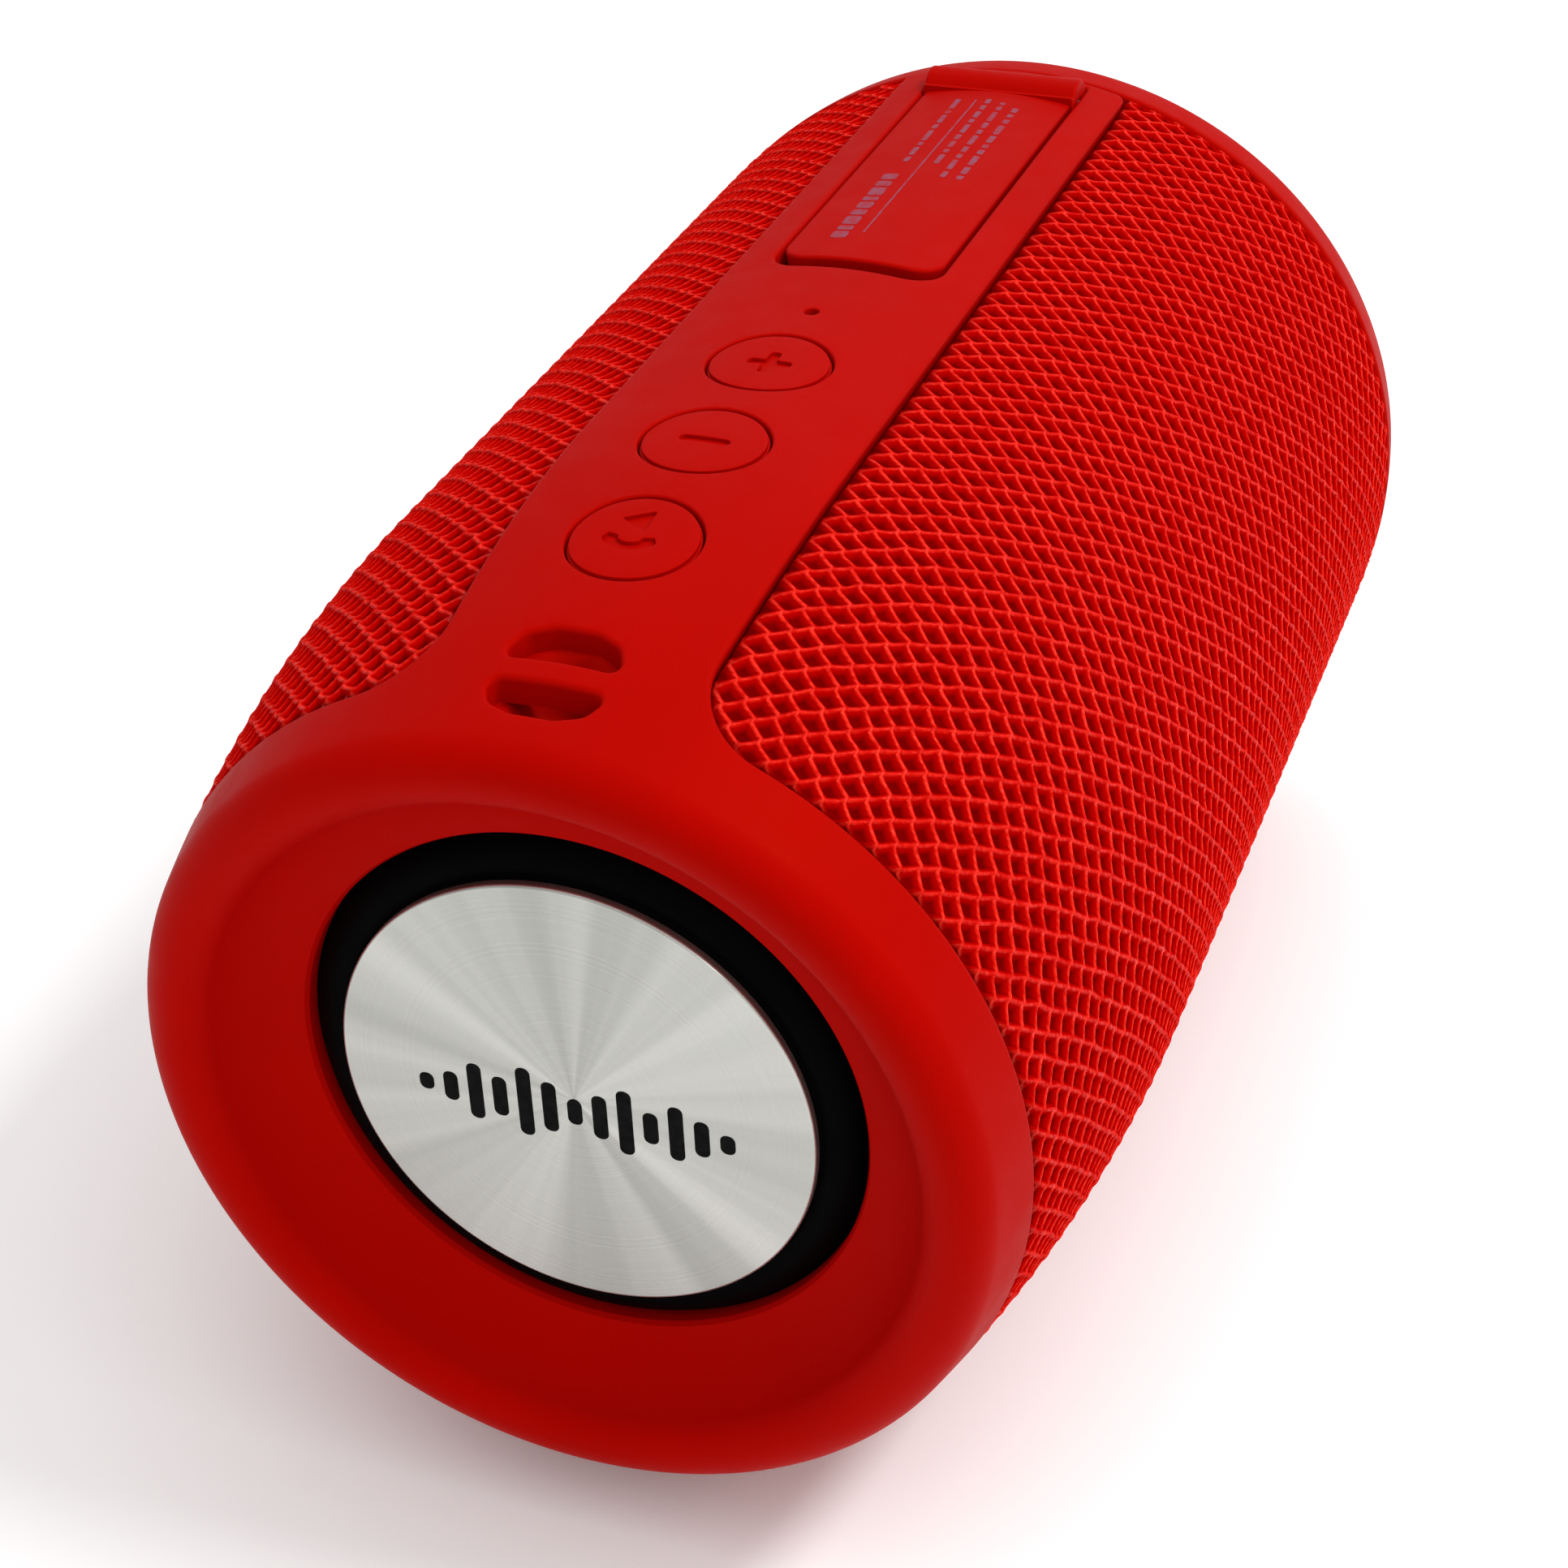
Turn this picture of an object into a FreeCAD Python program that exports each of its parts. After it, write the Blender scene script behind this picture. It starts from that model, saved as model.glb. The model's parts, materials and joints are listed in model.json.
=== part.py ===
"""Portable bluetooth speaker: a tapered drum in a knitted sleeve, lying on its side.

Lengths are millimetres. Every piece is drawn in the drum's own frame, with the axis of the drum
along X, x = 0 at the face of the tapered end and +Z through the middle of the control strip.
finish() then moves a piece to the model's frame: origin under the middle of the drum, on the
surface it rests on, +X along the axis, +Z up.
"""
import FreeCAD, Part
import math
import os

import Sketcher

DIMENSIONS = [
    # drum
    ("drum_length", 130.0), ("drum_radius", 40.0), ("axis_height", 41.0),
    ("near_taper_length", 40.8), ("near_taper_drop", 5.72), ("near_lip_round", 3.1),
    ("far_taper_length", 10.9), ("far_taper_drop", 1.25), ("far_lip_round", 3.3),
    # end caps and their dishes
    ("near_cap_width", 7.3), ("far_cap_width", 6.8), ("tongue_length", 3.0),
    ("tongue_thickness", 2.2), ("tongue_inset", 2.7), ("notch_half", 13.0), ("cap_back", 8.4),
    ("dish_depth", 6.6), ("dish_radius", 23.6), ("near_dish_edge", 29.1), ("far_dish_edge", 31.0),
    ("dish_edge_depth", 2.0), ("near_face_round", 3.0), ("near_dish_round", 9.0),
    ("far_face_round", 7.4), ("far_dish_round", 16.0),
    # control strip
    ("strip_rise", 0.48), ("strip_wall", 2.2), ("strip_end", 121.7), ("strip_start", 5.0),
    ("strip_half_angle", 16.36), ("tuck_angle", 1.0), ("corner_angle", 27.0),
    ("corner_round", 6.2), ("corner_gap", 0.5),
    # lanyard pocket
    ("pocket_place", 8.7), ("pocket_radius", 4.2), ("pocket_floor", 31.2), ("pocket_wall", 1.0),
    ("lanyard_bar_start", 7.6), ("lanyard_bar_width", 2.0), ("lanyard_bar_under", 34.1),
    # buttons
    ("button_first", 23.85), ("button_pitch", 14.25), ("button_hole", 5.3), ("button_radius", 4.95),
    ("button_flange", 5.9), ("button_travel", 0.5), ("button_stem", 1.6),
    ("flange_thickness", 0.8), ("icon_depth", 0.35), ("icon_line", 0.9), ("icon_arm", 1.95),
    ("mic_place", 62.4), ("mic_hole", 0.65),
    # button board
    ("button_board_base", 30.4), ("button_board_thickness", 1.0), ("button_board_start", 14.0),
    ("button_board_end", 70.0), ("button_board_half", 6.6), ("switch_side", 5.0),
    ("switch_tall", 1.7), ("plunger_radius", 1.2), ("plunger_gap", 0.1), ("plunger_top", 33.9),
    ("plunger_base", 32.3), ("boss_near", 15.9), ("boss_far", 67.3), ("boss_radius", 1.85),
    ("small_screw", 0.7),
    # port bay and its flap
    ("flap_start", 73.75), ("bay_start", 71.75), ("bay_end", 120.75), ("bay_half", 7.75),
    ("flap_half", 7.4), ("flap_round", 2.6), ("flap_thickness", 1.5), ("flap_inset", 0.06),
    ("hinge_place", 118.1), ("hinge_height", 38.9), ("knuckle_radius", 2.5), ("knuckle_half", 7.4),
    ("hinge_pin", 0.5), ("hinge_play", 0.05), ("pin_half", 8.7), ("neck_length", 2.3),
    ("rib_start", 75.4), ("rib_end", 114.6), ("rib_half", 6.3), ("rib_thickness", 0.7),
    ("rib_base", 37.7), ("bay_floor", 34.0), ("panel_thickness", 1.0), ("tray_wall", 0.9),
    # fabric sleeve and grille shell
    ("fabric_thickness", 0.9), ("fabric_gap", 0.12), ("shell_inset", 0.95), ("shell_wall", 1.5),
    ("sound_slot", 2.6), ("sound_slot_pitch", 5.0), ("sound_slot_half", 14.0),
    # cabinet
    ("cabinet_start", 10.8), ("cabinet_end", 119.2), ("cabinet_radius", 34.2),
    ("cabinet_wall", 2.0), ("cabinet_end_wall", 2.4), ("baffle", 26.0), ("deck", 18.0),
    ("keel", 30.0), ("end_chamber_radius", 29.1), ("end_chamber_length", 7.7), ("port_hole", 24.4),
    ("seal_thickness", 0.8), ("ear_radius", 2.2), ("ear_half", 5.0), ("cabinet_screw", 1.1),
    ("screw_head_radius", 2.0), ("screw_head", 1.2), ("driver_hole", 15.6),
    # passive radiators, measured inwards from the end face
    ("disc_front", 5.45), ("disc_radius", 19.7), ("disc_thickness", 0.8), ("disc_bevel", 0.25),
    ("frame_start", 9.0), ("frame_radius", 28.4), ("frame_hole", 22.9), ("weight_radius", 14.0),
    ("weight_thickness", 3.0), ("land_inner", 8.0), ("land_outer", 26.5), ("rubber", 0.6),
    ("roll_start", 19.75), ("roll_end", 23.3), ("roll_round", 2.6),
    # drivers, measured inwards from the baffle's face
    ("driver_near", 41.0), ("driver_far", 90.0), ("driver_drop", 3.0), ("flange_half", 18.0),
    ("flange_plate", 1.5), ("basket_radius", 15.4), ("basket_back", 12.0), ("basket_depth", 9.0),
    ("basket_wall", 1.0), ("basket_hole", 6.2), ("magnet_radius", 12.5), ("magnet_hole", 6.5),
    ("magnet_depth", 5.0), ("plate_radius", 11.5), ("plate_hole", 5.75), ("plate_thickness", 2.0),
    ("pole_radius", 4.5), ("coil_inner", 5.0), ("coil_wall", 0.4), ("coil_start", 5.4),
    ("coil_end", 13.0), ("cone_rim", 12.6), ("cone_paper", 0.5), ("cap_radius", 6.1),
    ("spider_radius", 11.1), ("spider_place", 7.5), ("spider_cloth", 0.3), ("driver_screw", 0.9),
    ("driver_screw_offset", 15.6), ("driver_land", 16.2), ("driver_roll_round", 1.15),
    # battery
    ("cell_radius", 9.1), ("cell_length", 65.0), ("cell_start", 31.0), ("cell_back", 17.0),
    ("lower_cell", -13.0), ("upper_cell", 5.8), ("cradle_length", 5.0), ("cradle_lap", 3.0),
    ("cradle_front", 6.5), ("lead_radius", 0.45), ("lead_place", 104.0), ("lead_across", 9.8),
    ("lead_gap", 1.2), ("lead_height", 5.8), ("grommet_radius", 2.6),
    # main board and what stands on it
    ("board_start", 60.0), ("board_end", 111.0), ("board_half", 18.0), ("board_base", 19.5),
    ("board_thickness", 1.6), ("board_screw_inset", 3.0), ("board_screw_across", 15.0),
    ("switch_place", 76.8), ("usb_place", 85.3), ("aux_place", 93.8), ("card_place", 104.2),
    ("aux_bore", 1.8), ("aux_radius", 3.0), ("aux_depth", 12.5),
    ("capacitor_radius", 2.5), ("capacitor_height", 5.5), ("post_radius", 2.6),
    ("board_screw", 1.0), ("board_screw_length", 4.6), ("board_screw_head", 1.9),
    ("microphone_radius", 2.0), ("microphone_height", 1.6), ("boot_radius", 2.4),
    # rubber rails under the drum
    ("rail_start", 40.0), ("rail_end", 100.0), ("rail_inner", 11.5), ("rail_outer", 17.0),
    ("rail_round", 2.4),
]

X = FreeCAD.Vector(1, 0, 0)
Y = FreeCAD.Vector(0, 1, 0)
Z = FreeCAD.Vector(0, 0, 1)
UPRIGHT = FreeCAD.Rotation()
ALONG_X = FreeCAD.Rotation(Z, X)
ALONG_Y = FreeCAD.Rotation(Z, Y)
HALF_TURN = FreeCAD.Rotation(Z, 180)
FACING_FRONT = FreeCAD.Rotation(X, Y)

document = FreeCAD.newDocument("PortableSpeaker")
finished = []


class Size:
    """A length that carries its number and the sheet expression that it comes from."""

    def __init__(self, value, text):
        self.value = value
        self.text = text

    def __add__(self, other):
        other = as_size(other)
        return Size(self.value + other.value, f"({self.text} + {other.text})")

    def __sub__(self, other):
        other = as_size(other)
        return Size(self.value - other.value, f"({self.text} - {other.text})")

    def __rsub__(self, other):
        return as_size(other) - self

    def __mul__(self, other):
        other = as_size(other)
        return Size(self.value * other.value, f"({self.text} * {other.text})")

    def __truediv__(self, other):
        other = as_size(other)
        return Size(self.value / other.value, f"({self.text} / {other.text})")

    def __neg__(self):
        return Size(-self.value, f"(0 - {self.text})")

    __radd__ = __add__
    __rmul__ = __mul__

    def root(self):
        return Size(math.sqrt(self.value), f"sqrt({self.text})")


def as_size(amount):
    """A Size from a plain number or from a Size."""
    if isinstance(amount, Size):
        return amount
    return Size(float(amount), f"({float(amount)})")


class Sheet:
    """The driving dimensions, each kept in a cell of the spreadsheet and read as a Size."""

    def __init__(self, dimensions):
        cells = document.addObject("Spreadsheet::Sheet", "Dims")
        for row, (alias, value) in enumerate(dimensions, start=1):
            cells.set(f"A{row}", alias.replace("_", " "))
            cells.set(f"B{row}", str(value))
            cells.setAlias(f"B{row}", alias)
            setattr(self, alias, Size(value, f"Dims.{alias}"))
        document.recompute()


d = Sheet(DIMENSIONS)


# ---- drawing helpers ---------------------------------------------------------------------------

def bind(thing, **amounts):
    """Tie properties of a document object to the sheet."""
    for name, amount in amounts.items():
        thing.setExpression(name, as_size(amount).text)


def place(thing, where, turn=UPRIGHT):
    """Turn an object and tie its position to the sheet."""
    thing.Placement = FreeCAD.Placement(FreeCAD.Vector(), turn)
    for axis, amount in zip("xyz", where):
        thing.setExpression(f"Placement.Base.{axis}", as_size(amount).text)
    return thing


def cylinder(radius, length, base, turn=UPRIGHT):
    """A cylinder that starts at base and runs along the turned Z axis."""
    round_bar = document.addObject("Part::Cylinder", "Cylinder")
    bind(round_bar, Radius=radius, Height=length)
    return place(round_bar, base, turn)


def box(low, high):
    """A box between two corners."""
    block = document.addObject("Part::Box", "Box")
    length, width, height = (as_size(top) - bottom for bottom, top in zip(low, high))
    bind(block, Length=length, Width=width, Height=height)
    return place(block, low)


def fuse(*pieces):
    """Several solids made into one."""
    joined = document.addObject("Part::MultiFuse", "Fuse")
    joined.Shapes = list(pieces)
    return joined


def cut(base, *tools):
    """A solid with the tools taken away from it."""
    remainder = document.addObject("Part::Cut", "Cut")
    remainder.Base = base
    remainder.Tool = tools[0] if len(tools) == 1 else fuse(*tools)
    return remainder


def common(first, second):
    """The space that two solids share."""
    shared = document.addObject("Part::Common", "Common")
    shared.Base = first
    shared.Tool = second
    return shared


def group(*pieces):
    """Several separate solids kept as one object."""
    together = document.addObject("Part::Compound", "Group")
    together.Links = list(pieces)
    return together


def origin_plane(body, role):
    """One of a body's own origin planes."""
    return next(item for item in body.Origin.OriginFeatures if item.Role == role)


def arc_through(start, end, radius):
    """An arc between two points: a positive radius bulges to the right of the way from start to end."""
    chord = end - start
    middle = (start + end) * 0.5
    rise = math.sqrt(max(radius * radius - chord.Length ** 2 / 4, 0))
    left = FreeCAD.Vector(-chord.y, chord.x, 0).normalize()
    centre = middle + left * math.copysign(rise, radius)
    first, last = (start, end) if radius > 0 else (end, start)
    angles = [math.atan2(point.y - centre.y, point.x - centre.x) for point in (first, last)]
    return Part.ArcOfCircle(Part.Circle(centre, Z, abs(radius)), angles[0], angles[1])


def draw(sketch, outline):
    """Draw a closed outline of (across, up) points, or (across, up, radius) to reach one by an arc."""
    places = [FreeCAD.Vector(as_size(p[0]).value, as_size(p[1]).value, 0) for p in outline]
    count = len(outline)
    ends = []
    for index in range(count):
        following = (index + 1) % count
        start, end = places[index], places[following]
        if len(outline[following]) == 2:
            sketch.addGeometry(Part.LineSegment(start, end), False)
            ends.append((1, 2))
            continue
        radius = as_size(outline[following][2])
        sketch.addGeometry(arc_through(start, end, radius.value), False)
        ends.append((1, 2) if radius.value > 0 else (2, 1))
    for index in range(count):
        before = (index - 1) % count
        sketch.addConstraint(
            Sketcher.Constraint("Coincident", before, ends[before][1], index, ends[index][0]))
    for index, point in enumerate(outline):
        for kind, axis, amount in (("DistanceX", -2, point[0]), ("DistanceY", -1, point[1])):
            amount = as_size(amount)
            if abs(amount.value) < 1e-9:
                sketch.addConstraint(
                    Sketcher.Constraint("PointOnObject", index, ends[index][0], axis))
                continue
            number = sketch.addConstraint(
                Sketcher.Constraint(kind, -1, 1, index, ends[index][0], amount.value))
            sketch.setExpression(f"Constraints[{number}]", amount.text)
        if len(point) == 3:
            radius = as_size(point[2])
            size = radius if radius.value > 0 else -radius
            number = sketch.addConstraint(
                Sketcher.Constraint("Radius", (index - 1) % count, size.value))
            sketch.setExpression(f"Constraints[{number}]", size.text)


def sketched(role, outline):
    """A new body with one sketch on an origin plane."""
    body = document.addObject("PartDesign::Body", "Body")
    sketch = body.newObject("Sketcher::SketchObject", "Outline")
    sketch.AttachmentSupport = (origin_plane(body, role), [""])
    sketch.MapMode = "FlatFace"
    draw(sketch, outline)
    return body, sketch


def turned(outline, angle=360):
    """A solid of revolution about the drum's axis; a part turn is centred on the top."""
    body, sketch = sketched("XZ_Plane", outline)
    revolution = body.newObject("PartDesign::Revolution", "Revolution")
    revolution.Profile = sketch
    revolution.ReferenceAxis = (sketch, ["H_Axis"])
    revolution.Midplane = as_size(angle).value < 360
    bind(revolution, Angle=angle)
    return body


def prism(outline, base, height):
    """An upright prism over an outline in plan."""
    body, sketch = sketched("XY_Plane", outline)
    pad = body.newObject("PartDesign::Pad", "Pad")
    pad.Profile = sketch
    bind(pad, Length=height)
    return place(body, (0, 0, base))


def ring(outer, inner, length, base, turn=UPRIGHT):
    """A tube between two radii."""
    return cut(cylinder(outer, length, base, turn), cylinder(inner, length, base, turn))


def finish(thing, name, where=(0, 0, 0), turn=UPRIGHT):
    """Name a sub-part and move it from the drum's frame to the model's frame."""
    if thing.TypeId in ("Part::Box", "Part::Cylinder"):
        thing = group(thing)
    along, across, up = where
    place(thing, (as_size(along) - d.drum_length / 2, across, as_size(up) + d.axis_height), turn)
    thing.Label = name
    finished.append(thing)


# ---- the drum's outline ------------------------------------------------------------------------

class Taper:
    """An end of the drum: an arc tangent to the cylinder, which meets the face in a small round."""

    def __init__(self, top, length, run, drop, lip_round):
        """The arc leaves the cylinder at length from the face and drops by drop after a run."""
        self.length = length
        self.arc = (run * run + drop * drop) / (2 * drop)
        self.centre_radius = as_size(top) - self.arc
        self.lip_round = lip_round
        inner_arc = self.arc - lip_round
        run = length - lip_round
        self.lip_centre = self.centre_radius + (inner_arc * inner_arc - run * run).root()
        scale = self.arc / inner_arc
        self.lip_end = (length - run * scale,
                        self.centre_radius + (self.lip_centre - self.centre_radius) * scale)

    def radius(self, depth, inset=0):
        """The drum's radius at a depth from the end face, less an inset square to the surface."""
        arc = self.arc - inset
        run = self.length - depth
        return self.centre_radius + (arc * arc - run * run).root()


near_edge = d.near_cap_width
far_edge = d.drum_length - d.far_cap_width
strip_top = d.drum_radius + d.strip_rise
near_end = Taper(d.drum_radius, d.near_taper_length, d.near_taper_length, d.near_taper_drop,
                 d.near_lip_round)
far_end = Taper(d.drum_radius, d.far_taper_length, d.far_taper_length, d.far_taper_drop,
                d.far_lip_round)
strip_arc = Taper(strip_top, d.near_taper_length, d.near_taper_length - near_edge,
                  strip_top - near_end.radius(near_edge), d.near_lip_round)


def strip_section(start, end, outset, inset):
    """The section of a skin that follows the control strip between two insets."""
    return [
        (start, strip_arc.radius(start, inset)),
        (d.near_taper_length, strip_top - inset, -(strip_arc.arc - inset)),
        (end, strip_top - inset),
        (end, strip_top - outset),
        (d.near_taper_length, strip_top - outset),
        (start, strip_arc.radius(start, outset), strip_arc.arc - outset),
    ]


def plain_section(start, end, outer, inner):
    """The section of a plain tube along the drum."""
    return [(start, inner), (end, inner), (end, outer), (start, outer)]


def strip_core(inset):
    """Everything that lies under the surface of the control strip, less an inset."""
    start, end = as_size(2.0), d.drum_length - 4
    return turned([
        (start, 0),
        (end, 0),
        (end, strip_top - inset),
        (d.near_taper_length, strip_top - inset),
        (start, strip_arc.radius(start, inset), strip_arc.arc - inset),
    ])


def strip_height(along, inset=0):
    """The height of the strip's surface over the axis, at the middle of the strip."""
    if as_size(along).value < d.near_taper_length.value:
        return strip_arc.radius(along, inset)
    return strip_top - inset


def corner_web(corner_round, inset, depth):
    """The two rounded corners that join the control strip to the near cap."""
    start, end = near_edge - 1.2, near_edge + d.corner_round
    web = turned([
        (start, strip_arc.radius(start, inset)),
        (end, strip_arc.radius(end, inset), -(strip_arc.arc - inset)),
        (end, strip_arc.radius(end, depth)),
        (start, strip_arc.radius(start, depth)),
    ], d.corner_angle * 2)
    rounds = [
        cylinder(corner_round, d.drum_radius * 2, (end, 0, 0),
                 FreeCAD.Rotation(X, side * d.corner_angle.value))
        for side in (-1, 1)
    ]
    return cut(web, *rounds)


# ---- end caps ----------------------------------------------------------------------------------

def cap_ring(end, width, dish_edge, face_round, dish_round):
    """A cap that wraps one end of the drum: lip, dish and the tongue that holds the shell."""
    edge = end.radius(width)
    tongue = edge - d.tongue_inset
    return turned([
        (0, end.lip_centre, end.lip_round),
        (d.dish_edge_depth, dish_edge, face_round),
        (d.dish_depth, d.dish_radius, -dish_round),
        (d.cap_back, d.dish_radius),
        (d.cap_back, tongue - d.tongue_thickness),
        (width + d.tongue_length, tongue - d.tongue_thickness),
        (width + d.tongue_length, tongue),
        (width, tongue),
        (width, edge),
        (end.lip_end[0], end.lip_end[1], end.arc),
    ])


def hinge_pin_hole():
    """The bore through both sides of the control strip for the flap's pin."""
    return cylinder(d.hinge_pin, d.pin_half * 2, (d.hinge_place, -d.pin_half, d.hinge_height),
                    ALONG_Y)


def near_end_cap_with_strip():
    """The near cap and the control strip, which are one moulding."""
    strip = turned(strip_section(d.strip_start, d.strip_end, 0, d.strip_wall),
                   d.strip_half_angle * 2)
    near_ring = cap_ring(near_end, d.near_cap_width, d.near_dish_edge, d.near_face_round,
                         d.near_dish_round)
    pocket_half = d.pocket_radius + d.pocket_wall
    pocket_shell = common(
        cylinder(pocket_half, d.drum_radius,
                 (d.pocket_place, 0, d.pocket_floor - d.pocket_wall)),
        strip_core(0.4))
    bosses = [
        common(cylinder(d.boss_radius, 12, (place_x, 0, board_top())), strip_core(0.5))
        for place_x in (d.boss_near, d.boss_far)
    ]
    body = fuse(near_ring, strip,
                corner_web(d.corner_round, 0, d.strip_wall), pocket_shell, *bosses)
    pocket = cylinder(d.pocket_radius, 20, (d.pocket_place, 0, d.pocket_floor))
    holes = [
        cylinder(d.button_hole, 12, (button_place(number), 0, d.plunger_top))
        for number in range(3)
    ]
    mic = cylinder(d.mic_hole, 12, (d.mic_place, 0, board_top()))
    window = box((d.bay_start, -d.bay_half, 30), (d.bay_end, d.bay_half, 50))
    pilots = [
        cylinder(d.small_screw, 4, (place_x, 0, board_top()))
        for place_x in (d.boss_near, d.boss_far)
    ]
    hollowed = cut(body, pocket, mic, window, hinge_pin_hole(), *holes, *pilots)
    bar = common(
        box((d.lanyard_bar_start, -d.pocket_radius - 0.5, d.lanyard_bar_under),
            (d.lanyard_bar_start + d.lanyard_bar_width, d.pocket_radius + 0.5, 45)),
        strip_core(0.1))
    finish(fuse(hollowed, bar), "near_end_cap_with_strip")


def far_end_cap():
    """The cap at the full end of the drum, notched to pass under the control strip."""
    whole = cap_ring(far_end, d.far_cap_width, d.far_dish_edge, d.far_face_round, d.far_dish_round)
    notch = box((d.far_cap_width, -d.notch_half, 30), (20, d.notch_half, 50))
    finish(cut(whole, notch), "far_end_cap", (d.drum_length, 0, 0), HALF_TURN)


# ---- buttons and their board -------------------------------------------------------------------

def button_place(number):
    """Where a button sits along the strip, counted from the near end."""
    return d.button_first + d.button_pitch * number


def board_top():
    return d.button_board_base + d.button_board_thickness


def icon_bar(middle, half_along, half_across, base):
    """A rectangular cutter for an icon, centred on a button."""
    return box((middle - half_along, -half_across, base), (middle + half_along, half_across, 50))


def play_icon(middle, base):
    """A play triangle beside a telephone handset."""
    triangle = prism([
        (middle + 0.8, -0.4),
        (middle + 3.3, -0.4),
        (middle + 2.0, 1.7),
    ], base, 10)
    handset = prism([
        (middle + 0.2, 2.2),
        (middle - 0.7, 2.2),
        (middle - 0.7, -1.8, 3.1),
        (middle + 0.2, -1.8),
        (middle + 0.2, -0.8),
        (middle - 0.3, -0.7),
        (middle - 0.3, 1.1, -2.2),
        (middle + 0.2, 1.2),
    ], base, 10)
    return [triangle, handset]


def minus_icon(middle, base):
    return [icon_bar(middle, d.icon_line / 2, d.icon_arm, base)]


def plus_icon(middle, base):
    return [icon_bar(middle, d.icon_line / 2, d.icon_arm, base),
            icon_bar(middle, d.icon_arm, d.icon_line / 2, base)]


def button(number, name, icon):
    """A push button: a cap flush with the strip, a flange that keeps it in and a stem."""
    middle = button_place(number)
    lowest_edge = strip_height(middle - d.button_flange, d.strip_wall)
    flange_top = lowest_edge - 0.9
    cap = common(cylinder(d.button_radius, 15, (middle, 0, flange_top - 0.1)), strip_core(0.05))
    marked = cut(cap, *icon(middle, strip_height(middle, d.icon_depth)))
    flange = cylinder(d.button_flange, d.flange_thickness,
                      (middle, 0, flange_top - d.flange_thickness))
    stem = cylinder(d.button_stem, flange_top - 0.2 - d.plunger_top, (middle, 0, d.plunger_top))
    finish(fuse(marked, flange, stem), f"button_{name}")
    plunger = cylinder(d.plunger_radius, d.plunger_top - d.plunger_base,
                       (middle, 0, d.plunger_base))
    finish(plunger, f"switch_plunger_{name}")


def button_electronics():
    """The board under the buttons, with its switches, microphone and screws."""
    places = [button_place(number) for number in range(3)]
    half = d.switch_side / 2
    bore_base = d.plunger_base - d.button_travel - 0.1
    switch_top = board_top() + d.switch_tall
    switches = [
        cut(box((middle - half, -half, board_top()), (middle + half, half, switch_top)),
            cylinder(d.plunger_radius + d.plunger_gap, 5, (middle, 0, bore_base)))
        for middle in places
    ]
    finish(group(*switches), "tact_switches")
    board = box((d.button_board_start, -d.button_board_half, d.button_board_base),
                (d.button_board_end, d.button_board_half, board_top()))
    screw_places = (d.boss_near, d.boss_far)
    holes = [cylinder(d.small_screw, 3, (middle, 0, d.button_board_base - 1)) for middle in screw_places]
    finish(cut(board, *holes), "button_board")
    screws = [
        fuse(cylinder(d.small_screw, 4, (middle, 0, d.button_board_base)),
             cylinder(d.small_screw * 2, 0.9, (middle, 0, d.button_board_base - 0.9)))
        for middle in screw_places
    ]
    finish(group(*screws), "button_board_screws")
    finish(cylinder(d.microphone_radius, d.microphone_height, (d.mic_place, 0, board_top())),
           "microphone")
    boot_base = board_top() + d.microphone_height
    boot_height = strip_height(d.mic_place, d.strip_wall) - boot_base - 0.1
    finish(ring(d.boot_radius, d.mic_hole, boot_height, (d.mic_place, 0, boot_base)),
           "microphone_boot")


# ---- port bay ----------------------------------------------------------------------------------

def rounded_plan(start, end, half, corner):
    """A rectangle in plan with its two near corners rounded."""
    return [
        (start + corner, -half, corner),
        (end, -half),
        (end, half),
        (start + corner, half),
        (start, half - corner, corner),
        (start, corner - half),
    ]


def port_flap():
    """The cover of the port bay: a curved plate with a sealing rib and a hinge knuckle."""
    plate_end = d.hinge_place - d.neck_length + 0.5
    skin = common(
        turned(plain_section(d.flap_start - 1, plate_end, strip_top - d.flap_inset,
                             strip_top - d.flap_inset - d.flap_thickness), 60),
        prism(rounded_plan(d.flap_start, plate_end, d.flap_half, d.flap_round), 30, 20))
    rib = cut(
        common(box((d.rib_start, -d.rib_half, d.rib_base), (d.rib_end, d.rib_half, 50)),
               strip_core(d.flap_inset + d.flap_thickness - 0.2)),
        box((d.rib_start + d.rib_thickness, d.rib_thickness - d.rib_half, 30),
            (d.rib_end - d.rib_thickness, d.rib_half - d.rib_thickness, 50)))
    neck = common(
        box((plate_end - 0.5, -d.knuckle_half, d.hinge_height - 0.3),
            (d.hinge_place, d.knuckle_half, 45)),
        strip_core(d.flap_inset))
    knuckle = cylinder(d.knuckle_radius, d.knuckle_half * 2,
                       (d.hinge_place, -d.knuckle_half, d.hinge_height), ALONG_Y)
    bore = cylinder(d.hinge_pin + d.hinge_play, d.knuckle_half * 2,
                    (d.hinge_place, -d.knuckle_half, d.hinge_height), ALONG_Y)
    finish(cut(fuse(skin, rib, neck, knuckle), bore), "port_flap")
    finish(hinge_pin_hole(), "flap_hinge_pin")


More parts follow.
